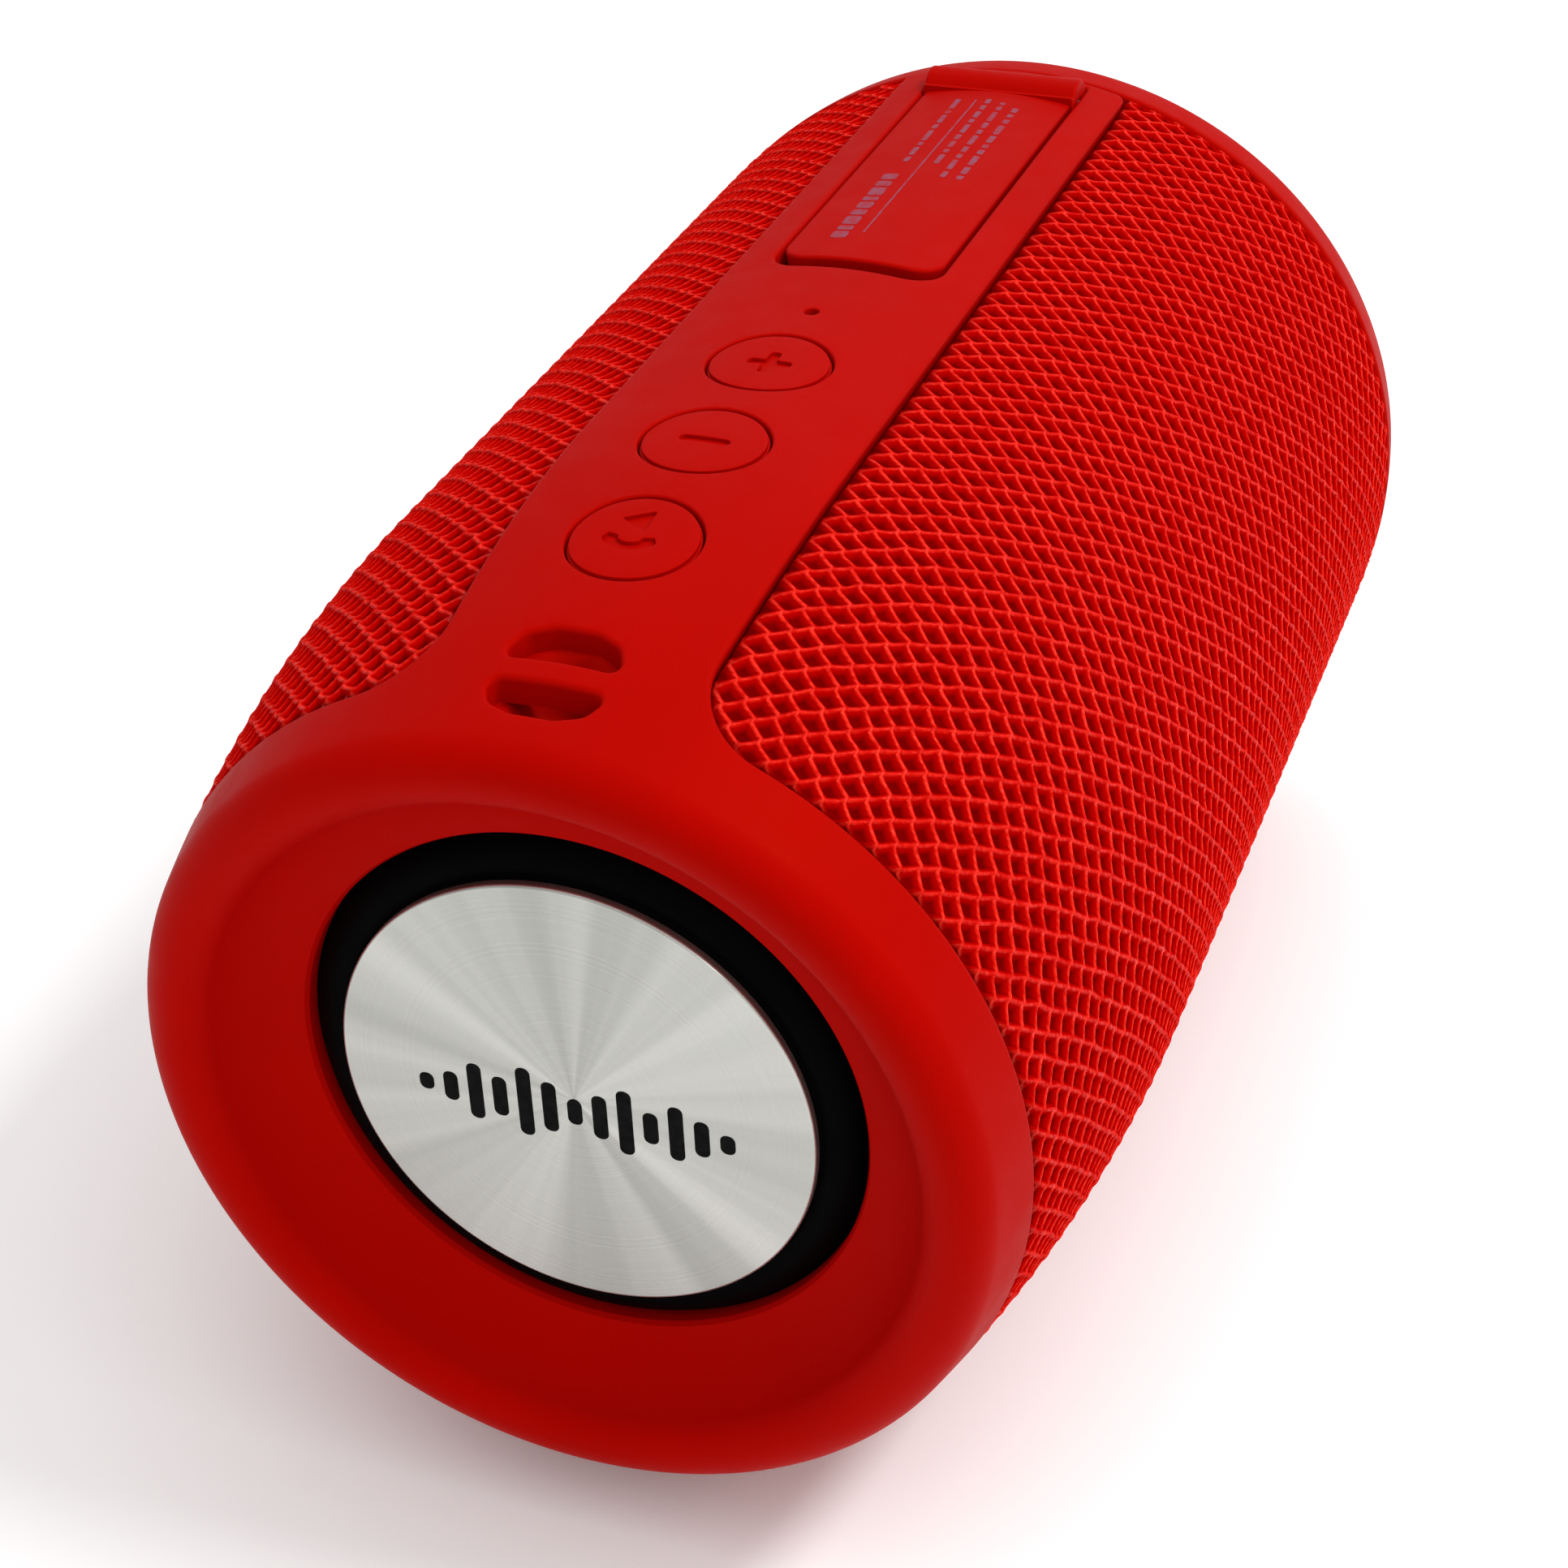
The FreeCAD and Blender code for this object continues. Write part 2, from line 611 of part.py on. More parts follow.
def port_panel():
    """The tray under the flap, with an opening for each socket."""
    outer = common(
        box((d.bay_start - d.tray_wall - 0.1, -d.bay_half - d.tray_wall, d.bay_floor - d.panel_thickness),
            (d.bay_end + d.tray_wall + 0.1, d.bay_half + d.tray_wall, 50)),
        strip_core(d.strip_wall + 0.02))
    inner = box((d.bay_start - 0.1, -d.bay_half, d.bay_floor), (d.bay_end + 0.1, d.bay_half, 50))
    low = d.bay_floor - d.panel_thickness - 1
    openings = [
        box((d.switch_place - 2.2, -0.9, low), (d.switch_place + 2.2, 0.9, 36)),
        box((d.usb_place - 4, -1.6, low), (d.usb_place + 4, 1.6, 36)),
        cylinder(d.aux_radius, 4, (d.aux_place, 0, low)),
        box((d.card_place - 6, -0.8, low), (d.card_place + 6, 0.8, 36)),
    ]
    finish(cut(outer, inner, *openings), "port_panel")


def sockets():
    """The parts that stand on the main board and reach the port bay."""
    base = d.board_base + d.board_thickness
    under = d.bay_floor - d.panel_thickness
    usb_body = fuse(
        box((d.usb_place - 4, -1.6, under), (d.usb_place + 4, 1.6, d.bay_floor)),
        box((d.usb_place - 4.4, -2, base), (d.usb_place + 4.4, 2, under)))
    usb_mouth = box((d.usb_place - 3.45, -0.9, 28), (d.usb_place + 3.45, 0.9, 36))
    usb_tongue = box((d.usb_place - 2.6, -0.35, 27.5), (d.usb_place + 2.6, 0.35, d.bay_floor - 0.8))
    finish(fuse(cut(usb_body, usb_mouth), usb_tongue), "usb_socket")
    jack = fuse(
        cylinder(d.aux_radius, d.panel_thickness, (d.aux_place, 0, under)),
        box((d.aux_place - 3.4, -3.4, base), (d.aux_place + 3.4, 3.4, under)))
    bore = cylinder(d.aux_bore, d.aux_depth, (d.aux_place, 0, d.bay_floor - d.aux_depth))
    finish(cut(jack, bore), "aux_jack")
    card_body = fuse(
        box((d.card_place - 6, -0.8, under), (d.card_place + 6, 0.8, d.bay_floor)),
        box((d.card_place - 6.4, -1.2, base), (d.card_place + 6.4, 1.2, under)))
    card_mouth = box((d.card_place - 5.6, -0.4, 22), (d.card_place + 5.6, 0.4, 36))
    finish(cut(card_body, card_mouth), "card_slot")
    switch_body = cut(
        box((d.switch_place - 3.7, -1.8, base), (d.switch_place + 3.7, 1.8, under)),
        box((d.switch_place - 3.1, -1.1, under - 1.4), (d.switch_place + 3.1, 1.1, 36)))
    finish(switch_body, "power_switch_body")
    knob_start = d.switch_place - 2.0
    slider = fuse(
        box((knob_start, -0.75, under - 0.5), (knob_start + 2, 0.75, d.bay_floor + 0.8)),
        box((knob_start - 1, -1, under - 1.3), (knob_start + 3, 1, under - 0.5)))
    finish(slider, "power_switch_slider")


# ---- main board --------------------------------------------------------------------------------

def board_corners():
    """Where the screws of the main board are, in plan."""
    along = (d.board_start + d.board_screw_inset, d.board_end - d.board_screw_inset)
    return [(place_x, side * d.board_screw_across) for place_x in along for side in (-1, 1)]


def main_board():
    """The main board with its module, chips and screws."""
    top = d.board_base + d.board_thickness
    plate = box((d.board_start, -d.board_half, d.board_base), (d.board_end, d.board_half, top))
    holes = [
        cylinder(d.board_screw, 4, (along, across, d.board_base - 1))
        for along, across in board_corners()
    ]
    finish(cut(plate, *holes), "main_board")
    length = d.board_screw_length
    screws = [
        fuse(cylinder(d.board_screw, length, (along, across, top - length)),
             cylinder(d.board_screw_head, 1.3, (along, across, top)))
        for along, across in board_corners()
    ]
    finish(group(*screws), "main_board_screws")
    blocks = [
        box((start_x, start_y, top), (end_x, end_y, top + height))
        for start_x, start_y, end_x, end_y, height in (
            (65.5, 3, 80, 12.5, 2.2),    # wireless module
            (84, 7, 91, 14, 1.2),        # amplifier
            (66, -11, 71, -6, 1.0),      # charger
            (75, -13, 82, -6, 3.0),      # inductor
        )
    ]
    capacitors = [
        cylinder(d.capacitor_radius, d.capacitor_height, (place_x, -10.5, top))
        for place_x in (88, 95)
    ]
    finish(group(*blocks, *capacitors), "board_chips")


# ---- sleeve and shell --------------------------------------------------------------------------

def sleeve_section(outset, inset, clearance):
    """The section of a layer under the drum's surface, between the two caps."""
    start, end = near_edge + clearance, far_edge - clearance
    return [
        (start, near_end.radius(start, inset)),
        (d.near_taper_length, d.drum_radius - inset, -(near_end.arc - inset)),
        (end, d.drum_radius - inset),
        (end, d.drum_radius - outset),
        (d.near_taper_length, d.drum_radius - outset),
        (start, near_end.radius(start, outset), near_end.arc - outset),
    ]


def strip_seat(extra_angle):
    """The space that the control strip and the groove beside it take out of a layer."""
    return turned(plain_section(1, d.drum_length, 50, 20), (d.strip_half_angle + extra_angle) * 2)


def fabric_sleeve():
    """The knitted sleeve, open where the control strip lies."""
    layer = turned(sleeve_section(0, d.fabric_thickness, d.fabric_gap))
    corners = corner_web(d.corner_round - d.corner_gap, -3.0, d.strip_wall + 2)
    finish(cut(layer, strip_seat(d.tuck_angle), corners), "fabric_sleeve")


def grille_shell():
    """The stiff shell under the sleeve, with a field of sound slots before each driver."""
    layer = turned(sleeve_section(d.shell_inset, d.shell_inset + d.shell_wall, d.fabric_gap * 2))
    corners = corner_web(d.corner_round - d.corner_gap * 2, -3.0, d.strip_wall + 2)
    slots = [
        box((middle + d.sound_slot_pitch * step - d.sound_slot / 2, -50,
             -d.driver_drop - d.sound_slot_half),
            (middle + d.sound_slot_pitch * step + d.sound_slot / 2, -20,
             d.sound_slot_half - d.driver_drop))
        for middle in (d.driver_near, d.driver_far)
        for step in range(-3, 4)
    ]
    finish(cut(layer, strip_seat(d.tuck_angle), corners, *slots), "grille_shell")


def foot_rails():
    """Two rubber rails under the drum, which stop it from rolling."""
    corner = d.rail_round
    start, end = d.rail_start, d.rail_end
    rails = []
    for inner, outer in ((d.rail_inner, d.rail_outer), (-d.rail_outer, -d.rail_inner)):
        plan = [
            (start + corner, inner, corner),
            (end - corner, inner),
            (end, inner + corner, corner),
            (end, outer - corner),
            (end - corner, outer, corner),
            (start + corner, outer),
            (start, outer - corner, corner),
            (start, inner + corner),
        ]
        rails.append(cut(prism(plan, -d.axis_height, 8),
                         cylinder(d.drum_radius, d.drum_length, (0, 0, 0), ALONG_X)))
    finish(group(*rails), "foot_rails")


# ---- cabinet -----------------------------------------------------------------------------------

def flat_sided(radius, start, end, inset):
    """A bar of the cabinet's section: round at the back, flat at the baffle, deck and keel."""
    round_bar = cylinder(radius, end - start, (start, 0, 0), ALONG_X)
    flats = box((start, inset - d.baffle, inset - d.keel), (end, 50, d.deck - inset))
    return common(round_bar, flats)


def cabinet_ears():
    """Where the screws that close the cabinet are, and the wall that each ear stands on."""
    top, bottom = d.deck + d.ear_radius, -d.keel - d.ear_radius
    return [(along, top, d.deck - 1, top) for along in (25, 47)] + [
        (along, bottom, bottom, 1 - d.keel) for along in (25, 65, 105)]


def driver_screw_places():
    """Where the screws of the two drivers are on the baffle: along the drum and above the axis."""
    return [
        (middle + side * d.driver_screw_offset, up * d.driver_screw_offset - d.driver_drop)
        for middle in (d.driver_near, d.driver_far)
        for side in (-1, 1)
        for up in (-1, 1)
    ]


def cabinet():
    """The sealed box in two halves with a seal between them, and its screws."""
    start, end = d.cabinet_start, d.cabinet_end
    chamber = d.end_chamber_length
    wall, end_wall = d.cabinet_wall, d.cabinet_end_wall
    radius = d.end_chamber_radius
    ears = [
        fuse(cylinder(d.ear_radius, d.ear_half * 2, (along, -d.ear_half, up), ALONG_Y),
             box((along - d.ear_radius, -d.ear_half, low), (along + d.ear_radius, d.ear_half, high)))
        for along, up, low, high in cabinet_ears()
    ]
    posts = [
        cylinder(d.post_radius, d.board_base - d.deck + 1, (along, across, d.deck - 1))
        for along, across in board_corners()
    ]
    outside = fuse(
        flat_sided(d.cabinet_radius, start, end, 0),
        cylinder(radius, chamber, (start, 0, 0), ALONG_X),
        cylinder(radius, chamber, (end - chamber, 0, 0), ALONG_X),
        *ears, *posts)
    inside = fuse(
        flat_sided(d.cabinet_radius - wall, start + end_wall, end - end_wall, wall),
        cylinder(radius - wall, chamber - wall - end_wall, (start + end_wall, 0, 0), ALONG_X),
        cylinder(radius - wall, chamber - wall - end_wall, (end - chamber + wall, 0, 0), ALONG_X))
    openings = [
        cylinder(d.port_hole, end_wall, (start, 0, 0), ALONG_X),
        cylinder(d.port_hole, end_wall, (end - end_wall, 0, 0), ALONG_X),
        *[cylinder(d.driver_hole, wall * 2, (place_x, -d.baffle - wall / 2, -d.driver_drop), ALONG_Y)
          for place_x in (d.driver_near, d.driver_far)],
        *[cylinder(d.board_screw, d.board_screw_length,
                   (along, across, d.board_base + d.board_thickness - d.board_screw_length))
          for along, across in board_corners()],
        *[cylinder(d.cabinet_screw, 9.2, (along, d.ear_half - 9.2, up), ALONG_Y)
          for along, up, *_ in cabinet_ears()],
        *[cylinder(d.driver_screw, 3, (along, -d.baffle, up), ALONG_Y)
          for along, up in driver_screw_places()],
        cylinder(d.grommet_radius, 4, (d.lead_place, d.lead_across, d.deck - 3)),
    ]
    whole = cut(outside, inside, *openings)
    half_seal = d.seal_thickness / 2
    front = box((0, -50, -50), (d.drum_length, -half_seal, 50))
    middle = box((0, -half_seal, -50), (d.drum_length, half_seal, 50))
    rear = box((0, half_seal, -50), (d.drum_length, 50, 50))
    finish(common(whole, front), "cabinet_front_shell")
    finish(common(whole, middle), "cabinet_seal")
    finish(common(whole, rear), "cabinet_rear_shell")
    screws = [
        fuse(cylinder(d.cabinet_screw, 9.2, (along, d.ear_half - 9.2, up), ALONG_Y),
             cylinder(d.screw_head_radius, d.screw_head, (along, d.ear_half, up), ALONG_Y))
        for along, up, *_ in cabinet_ears()
    ]
    finish(group(*screws), "cabinet_screws")


# ---- passive radiators -------------------------------------------------------------------------

def radiator(name, where, turn):
    """A passive radiator: bright disc, rubber surround, ring frame and tuning weight."""
    face, back = d.disc_front, d.disc_front + d.disc_thickness
    disc = turned([
        (face, 0),
        (back, 0),
        (back, d.disc_radius),
        (face + d.disc_bevel, d.disc_radius),
        (face, d.disc_radius - d.disc_bevel),
    ])
    finish(disc, f"radiator_disc_{name}", where, turn)
    land_back = back + d.rubber
    surround = turned([
        (back, d.land_inner),
        (land_back, d.land_inner),
        (land_back, d.roll_start - 0.15),
        (d.frame_start, d.frame_hole, -(d.roll_round - 0.4)),
        (d.frame_start, d.land_outer),
        (d.cap_back, d.land_outer),
        (d.cap_back, d.roll_end),
        (back, d.roll_start, d.roll_round),
    ])
    finish(surround, f"radiator_surround_{name}", where, turn)
    frame = turned(plain_section(d.frame_start, d.cabinet_start, d.frame_radius, d.frame_hole))
    finish(frame, f"radiator_frame_{name}", where, turn)
    weight = cylinder(d.weight_radius, d.weight_thickness, (land_back, 0, 0), ALONG_X)
    finish(weight, f"radiator_weight_{name}", where, turn)


# ---- drivers -----------------------------------------------------------------------------------

def driver(name, middle):
    """A full-range driver, drawn along X from the baffle's face inwards."""
    where = (middle, -d.baffle, -d.driver_drop)

    def fit(piece, part):
        finish(piece, f"driver_{part}_{name}", where, FACING_FRONT)

    front, wall, half = -d.flange_plate, d.basket_wall, d.flange_half
    inner = d.basket_radius - wall
    bowl = turned([
        (front, inner),
        (0.6, inner),
        (d.basket_depth - wall, d.basket_back - wall),
        (d.basket_depth - wall, d.basket_hole),
        (d.basket_depth, d.basket_hole),
        (d.basket_depth, d.basket_back),
        (1.0, d.basket_radius),
        (front, d.basket_radius),
    ])
    flange = cut(box((front, -half, -half), (0, half, half)),
                 cylinder(inner, d.flange_plate, (front, 0, 0), ALONG_X))
    windows = [box((2.4, -20, -4.5), (6.6, 20, 4.5)), box((2.4, -4.5, -20), (6.6, 4.5, 20))]
    screws = [
        cylinder(d.driver_screw, 3, (front, side * d.driver_screw_offset, up * d.driver_screw_offset),
                 ALONG_X)
        for side in (-1, 1) for up in (-1, 1)
    ]
    fit(cut(fuse(bowl, flange), *windows, *screws), "basket")

    plate_back = d.basket_depth + d.plate_thickness
    magnet_back = plate_back + d.magnet_depth
    fit(turned(plain_section(plate_back, magnet_back, d.magnet_radius, d.magnet_hole)), "magnet")
    top_plate = turned(plain_section(d.basket_depth, plate_back, d.plate_radius, d.plate_hole))
    yoke = fuse(
        cylinder(d.plate_radius, d.plate_thickness, (magnet_back, 0, 0), ALONG_X),
        cylinder(d.pole_radius, magnet_back - d.basket_depth, (d.basket_depth, 0, 0), ALONG_X))
    fit(group(top_plate, yoke), "motor_steel")

    coil_outer = d.coil_inner + d.coil_wall
    fit(turned([
        (front, d.cone_rim - 0.8),
        (d.coil_start - d.cone_paper, d.coil_inner),
        (d.coil_start, d.coil_inner),
        (d.coil_start, coil_outer),
        (front + d.cone_paper, d.cone_rim),
        (front, d.cone_rim),
    ]), "cone")
    fit(turned(plain_section(d.coil_start, d.coil_end, coil_outer, d.coil_inner)), "voice_coil")
    fit(turned([
        (1.2, 0),
        (1.6, 0),
        (3.8, d.cap_radius, 9.5),
        (3.4, d.cap_radius),
    ]), "dust_cap")
    fit(turned([
        (front, d.cone_rim - 0.8),
        (front, d.cone_rim + 0.1),
        (front, inner - 0.1, -d.driver_roll_round),
        (front, d.driver_land),
        (front - d.cone_paper, d.driver_land),
        (front - d.cone_paper, inner),
        (front - d.cone_paper, d.cone_rim, d.driver_roll_round + 0.3),
        (front - d.cone_paper, d.cone_rim - 0.8),
    ]), "surround")
    fit(turned(plain_section(d.spider_place, d.spider_place + d.spider_cloth, d.spider_radius,
                             coil_outer)), "spider")


def driver_screws():
    """The screws that hold both drivers to the baffle."""
    front = -d.baffle - d.flange_plate
    screws = [
        fuse(cylinder(d.driver_screw, 4.5, (along, front, up), ALONG_Y),
             cylinder(d.driver_screw * 2, 1.0, (along, front - 1.0, up), ALONG_Y))
        for along, up in driver_screw_places()
    ]
    finish(group(*screws), "driver_screws")


# ---- battery -----------------------------------------------------------------------------------

def battery():
    """Two cells lying along the drum in end cradles, with their leads and grommet."""
    heights = (d.lower_cell, d.upper_cell)
    cells = [
        cylinder(d.cell_radius, d.cell_length, (d.cell_start, d.cell_back, up), ALONG_X)
        for up in heights
    ]
    finish(group(*cells), "battery_cells")
    cell_end = d.cell_start + d.cell_length
    inner_wall = d.cabinet_radius - d.cabinet_wall - 0.05
    cradles = []
    for start, pocket in ((d.cell_start - d.cradle_length + d.cradle_lap, d.cell_start),
                          (cell_end - d.cradle_lap, cell_end - d.cradle_lap)):
        block = common(
            box((start, d.cradle_front, -23.5), (start + d.cradle_length, 40, d.deck - d.cabinet_wall)),
            cylinder(inner_wall, d.cradle_length, (start, 0, 0), ALONG_X))
        pockets = [
            cylinder(d.cell_radius, d.cradle_lap, (pocket, d.cell_back, up), ALONG_X)
            for up in heights
        ]
        vents = [
            cylinder(d.cell_radius / 2, d.cradle_length, (start, d.cell_back, up), ALONG_X)
            for up in heights
        ]
        cradles.append(cut(block, *pockets, *vents))
    finish(group(*cradles), "battery_cradles")
    lead_start = cell_end - d.cradle_lap + d.cradle_length
    across = [d.lead_across + side * d.lead_gap for side in (-1, 1)]
    leads = [lead((lead_start, place_y, d.lead_height), d.lead_place, d.board_base) for place_y in across]
    finish(group(*leads), "battery_leads")
    bores = [cylinder(d.lead_radius, 5, (d.lead_place, place_y, d.deck - 3.5)) for place_y in across]
    grommet = fuse(
        cylinder(d.grommet_radius, d.cabinet_wall, (d.lead_place, d.lead_across, d.deck - d.cabinet_wall)),
        cylinder(d.grommet_radius + 0.8, 0.8, (d.lead_place, d.lead_across, d.deck)))
    finish(cut(grommet, *bores), "lead_grommet")


def lead(start, corner_x, top):
    """A wire that runs along the drum and turns up through one bend."""
    along, across, up = start
    bend = (corner_x - along) * 0.45
    flat_run = cylinder(d.lead_radius, corner_x - bend - along, start, ALONG_X)
    quarter = document.addObject("Part::Torus", "Bend")
    bind(quarter, Radius1=bend, Radius2=d.lead_radius, Angle3=90)
    place(quarter, (corner_x - bend, across, up + bend),
          FreeCAD.Rotation(X, 90) * FreeCAD.Rotation(Z, -90))
    upright_run = cylinder(d.lead_radius, top - up - bend, (corner_x, across, up + bend))
    return fuse(flat_run, quarter, upright_run)


# ---- check and write ---------------------------------------------------------------------------

def check():
    """Stop if an object failed to compute or a sub-part is empty or invalid."""
    document.recompute()
    for thing in document.Objects:
        if {"Invalid", "Error"} & set(thing.State):
            raise RuntimeError(f"{thing.Label} did not compute: {thing.State}")
    for thing in finished:
        if thing.Shape.isNull() or not thing.Shape.isValid() or not thing.Shape.Solids:
            raise RuntimeError(f"{thing.Label} has no valid solid")


def write():
    """Write each sub-part to its own file."""
    os.makedirs("parts", exist_ok=True)
    for thing in finished:
        thing.Shape.exportStep(f"parts/{thing.Label}.step")
        print(thing.Label, len(thing.Shape.Solids), round(thing.Shape.Volume, 1))


near_end_cap_with_strip()
far_end_cap()
for index, (button_name, icon) in enumerate(
        (("play", play_icon), ("minus", minus_icon), ("plus", plus_icon))):
    button(index, button_name, icon)
button_electronics()
port_flap()
port_panel()
sockets()
main_board()
fabric_sleeve()
grille_shell()
foot_rails()
cabinet()
radiator("near", (0, 0, 0), UPRIGHT)
radiator("far", (d.drum_length, 0, 0), HALF_TURN)
driver("near", d.driver_near)
driver("far", d.driver_far)
driver_screws()
battery()
check()
write()
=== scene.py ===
"""Looks of the portable bluetooth speaker: a knitted drum with moulded end caps and spun discs.

Lengths inside this script are millimetres in the drum's own frame: the axis of the drum runs along
X at y = z = 0, x = 0 is the face of the tapered end, and +Z goes through the control strip.
to_row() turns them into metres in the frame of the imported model.
"""
import json
import math

import bmesh
import bpy
import numpy as np
from mathutils import Matrix, Vector, geometry


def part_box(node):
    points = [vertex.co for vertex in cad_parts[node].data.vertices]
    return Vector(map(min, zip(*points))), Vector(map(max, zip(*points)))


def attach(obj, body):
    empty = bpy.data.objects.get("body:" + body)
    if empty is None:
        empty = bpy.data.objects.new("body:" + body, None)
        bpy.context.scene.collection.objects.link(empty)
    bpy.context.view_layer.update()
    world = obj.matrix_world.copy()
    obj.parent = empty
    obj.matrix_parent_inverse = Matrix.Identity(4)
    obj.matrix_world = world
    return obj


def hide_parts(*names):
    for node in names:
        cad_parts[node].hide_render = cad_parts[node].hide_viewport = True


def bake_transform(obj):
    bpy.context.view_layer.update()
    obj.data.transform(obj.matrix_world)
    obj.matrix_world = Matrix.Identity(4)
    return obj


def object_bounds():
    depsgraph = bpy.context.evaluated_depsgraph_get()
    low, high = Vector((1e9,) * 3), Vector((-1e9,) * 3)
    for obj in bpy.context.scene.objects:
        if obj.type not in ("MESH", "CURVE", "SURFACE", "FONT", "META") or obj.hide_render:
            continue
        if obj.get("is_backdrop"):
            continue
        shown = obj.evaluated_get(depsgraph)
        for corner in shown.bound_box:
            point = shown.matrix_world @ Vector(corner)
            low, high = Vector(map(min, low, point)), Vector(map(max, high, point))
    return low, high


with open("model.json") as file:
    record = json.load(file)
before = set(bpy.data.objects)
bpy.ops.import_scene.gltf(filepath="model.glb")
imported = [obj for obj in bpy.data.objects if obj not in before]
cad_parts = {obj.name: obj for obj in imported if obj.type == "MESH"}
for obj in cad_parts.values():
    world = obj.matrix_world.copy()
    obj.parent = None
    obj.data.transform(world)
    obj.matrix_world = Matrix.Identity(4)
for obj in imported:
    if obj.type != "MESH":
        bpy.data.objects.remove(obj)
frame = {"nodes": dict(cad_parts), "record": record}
CAD_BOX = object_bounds()
MM = 0.001
TURN = 2 * math.pi


# ---- sizes taken from the frame --------------------------------------

def node_box(name):
    """A CAD node's lowest and highest corners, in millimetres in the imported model's frame."""
    low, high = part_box(name)
    return np.array(low) / MM, np.array(high) / MM


STRIP_RISE = 0.48  # how far the control strip stands over the knit
near_low, near_high = node_box("near_end_cap_with_strip")
far_low, far_high = node_box("far_end_cap")
LENGTH = far_high[0] - near_low[0]
STRIP_TOP = near_high[2] - (far_low[2] + far_high[2]) / 2
RADIUS = STRIP_TOP - STRIP_RISE
ORIGIN = np.array([near_low[0], 0.0, near_high[2] - STRIP_TOP])
STRIP_END = near_high[0] - near_low[0]
NEAR_EDGE = 7.3  # where the knit begins
FAR_CAP_WIDTH = 6.8
FAR_EDGE = LENGTH - FAR_CAP_WIDTH  # where it ends


def to_row(points):
    """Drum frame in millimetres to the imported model's frame in metres."""
    return (np.asarray(points, float) + ORIGIN) * MM


def centre_of(name):
    """The middle of a CAD node in the drum's frame."""
    low, high = node_box(name)
    return (low + high) / 2 - ORIGIN


# ---- the drum's outline ----------------------------------------------

class Taper:
    """An end of the drum: an arc that leaves radius top at length, and falls by drop over run."""

    def __init__(self, top, length, run, drop):
        self.length = length
        self.arc = (run ** 2 + drop ** 2) / (2 * drop)
        self.centre = top - self.arc

    def radius(self, x):
        """The outline's radius at x."""
        run = np.clip(self.length - np.asarray(x, float), 0, None)
        return self.centre + np.sqrt(self.arc ** 2 - run ** 2)

    def lip(self, round_radius):
        """Where a lip of this radius leaves the outline, and the middle of its round."""
        inner = self.arc - round_radius
        run = self.length - round_radius
        middle = self.centre + math.sqrt(inner ** 2 - run ** 2)
        scale = self.arc / inner
        return (self.length - run * scale, self.centre + (middle - self.centre) * scale), middle


NEAR_TAPER, NEAR_DROP = 40.8, 5.72  # how long each taper is, and how far it falls
FAR_TAPER, FAR_DROP = 10.9, 1.25
near_taper = Taper(RADIUS, NEAR_TAPER, NEAR_TAPER, NEAR_DROP)
far_taper = Taper(RADIUS, FAR_TAPER, FAR_TAPER, FAR_DROP)
strip_taper = Taper(STRIP_TOP, NEAR_TAPER, NEAR_TAPER - NEAR_EDGE,
                    STRIP_TOP - float(near_taper.radius(NEAR_EDGE)))


def moulding_radius(x):
    """The radius of the near cap and of the strip that goes on from it."""
    return np.where(np.asarray(x) <= NEAR_EDGE, near_taper.radius(x), strip_taper.radius(x))


def knit_radius(x):
    """The radius of the knit's crests."""
    from_far = LENGTH - np.asarray(x, float)
    return np.minimum(near_taper.radius(x), far_taper.radius(from_far))


def on_drum(points, depth, radius_at=moulding_radius):
    """Unrolled points (x, arc at the full radius) to the drum, depth under its surface."""
    points = np.asarray(points, float)
    radius = radius_at(points[:, 0]) - depth
    angle = points[:, 1] / RADIUS
    return np.column_stack([points[:, 0], radius * np.sin(angle), radius * np.cos(angle)])


def unrolled(points):
    """Points seen from above (x, y) on the strip to unrolled points."""
    points = np.asarray(points, float)
    angle = np.arcsin(points[:, 1] / moulding_radius(points[:, 0]))
    return np.column_stack([points[:, 0], angle * RADIUS])


def from_end(profile, end):
    """A profile drawn from the near face, or its mirror at the far one."""
    profile = np.asarray(profile, float)
    return profile if end == "near" else profile * [-1, 1] + [LENGTH, 0]


# ---- mesh tools ------------------------------------------------------

MERGE = 1e-4  # points in one cell of this size become one
CELL_SHIFT = 0.271  # keeps round numbers off the borders of the cells
LONGEST_SIDE = 1.2  # of an outline
SEGMENTS = 288  # of the caps, round the drum


class Solid:
    """Vertices and faces gathered into one mesh."""

    def __init__(self):
        self.points = []
        self.faces = []
        self.count = 0
        self.index = None  # once built, the vertex that each point became

    def add(self, points, faces):
        """Add points, and faces that count from the first of them."""
        points = np.asarray(points, float)
        self.points.append(points)
        self.faces.extend(tuple(int(i) + self.count for i in face) for face in faces)
        self.count += len(points)

    def strip(self, first, second, closed=True):
        """Quads between two rows of points of the same length."""
        n = len(first)
        last = n if closed else n - 1
        faces = [(i, (i + 1) % n, n + (i + 1) % n, n + i) for i in range(last)]
        self.add(np.vstack([first, second]), faces)

    def build(self, name, sharp=32):
        """Make the object, with doubled points merged and normals pointing out."""
        points = np.vstack(self.points)
        keys = np.floor(points / MERGE + CELL_SHIFT).astype(np.int64)
        _, first, inverse = np.unique(keys, axis=0, return_index=True, return_inverse=True)
        self.index = inverse.reshape(-1)
        faces = []
        for face in self.faces:
            ring = list(dict.fromkeys(int(self.index[corner]) for corner in face))
            if len(ring) > 2:
                faces.append(ring)
        mesh = bpy.data.meshes.new(name)
        mesh.from_pydata(to_row(points[first]).tolist(), [], faces)
        piece = bpy.data.objects.new(name, mesh)
        bpy.context.scene.collection.objects.link(piece)
        tidy_normals(mesh)
        mesh.shade_smooth()
        mesh.set_sharp_from_angle(angle=math.radians(sharp))
        return piece


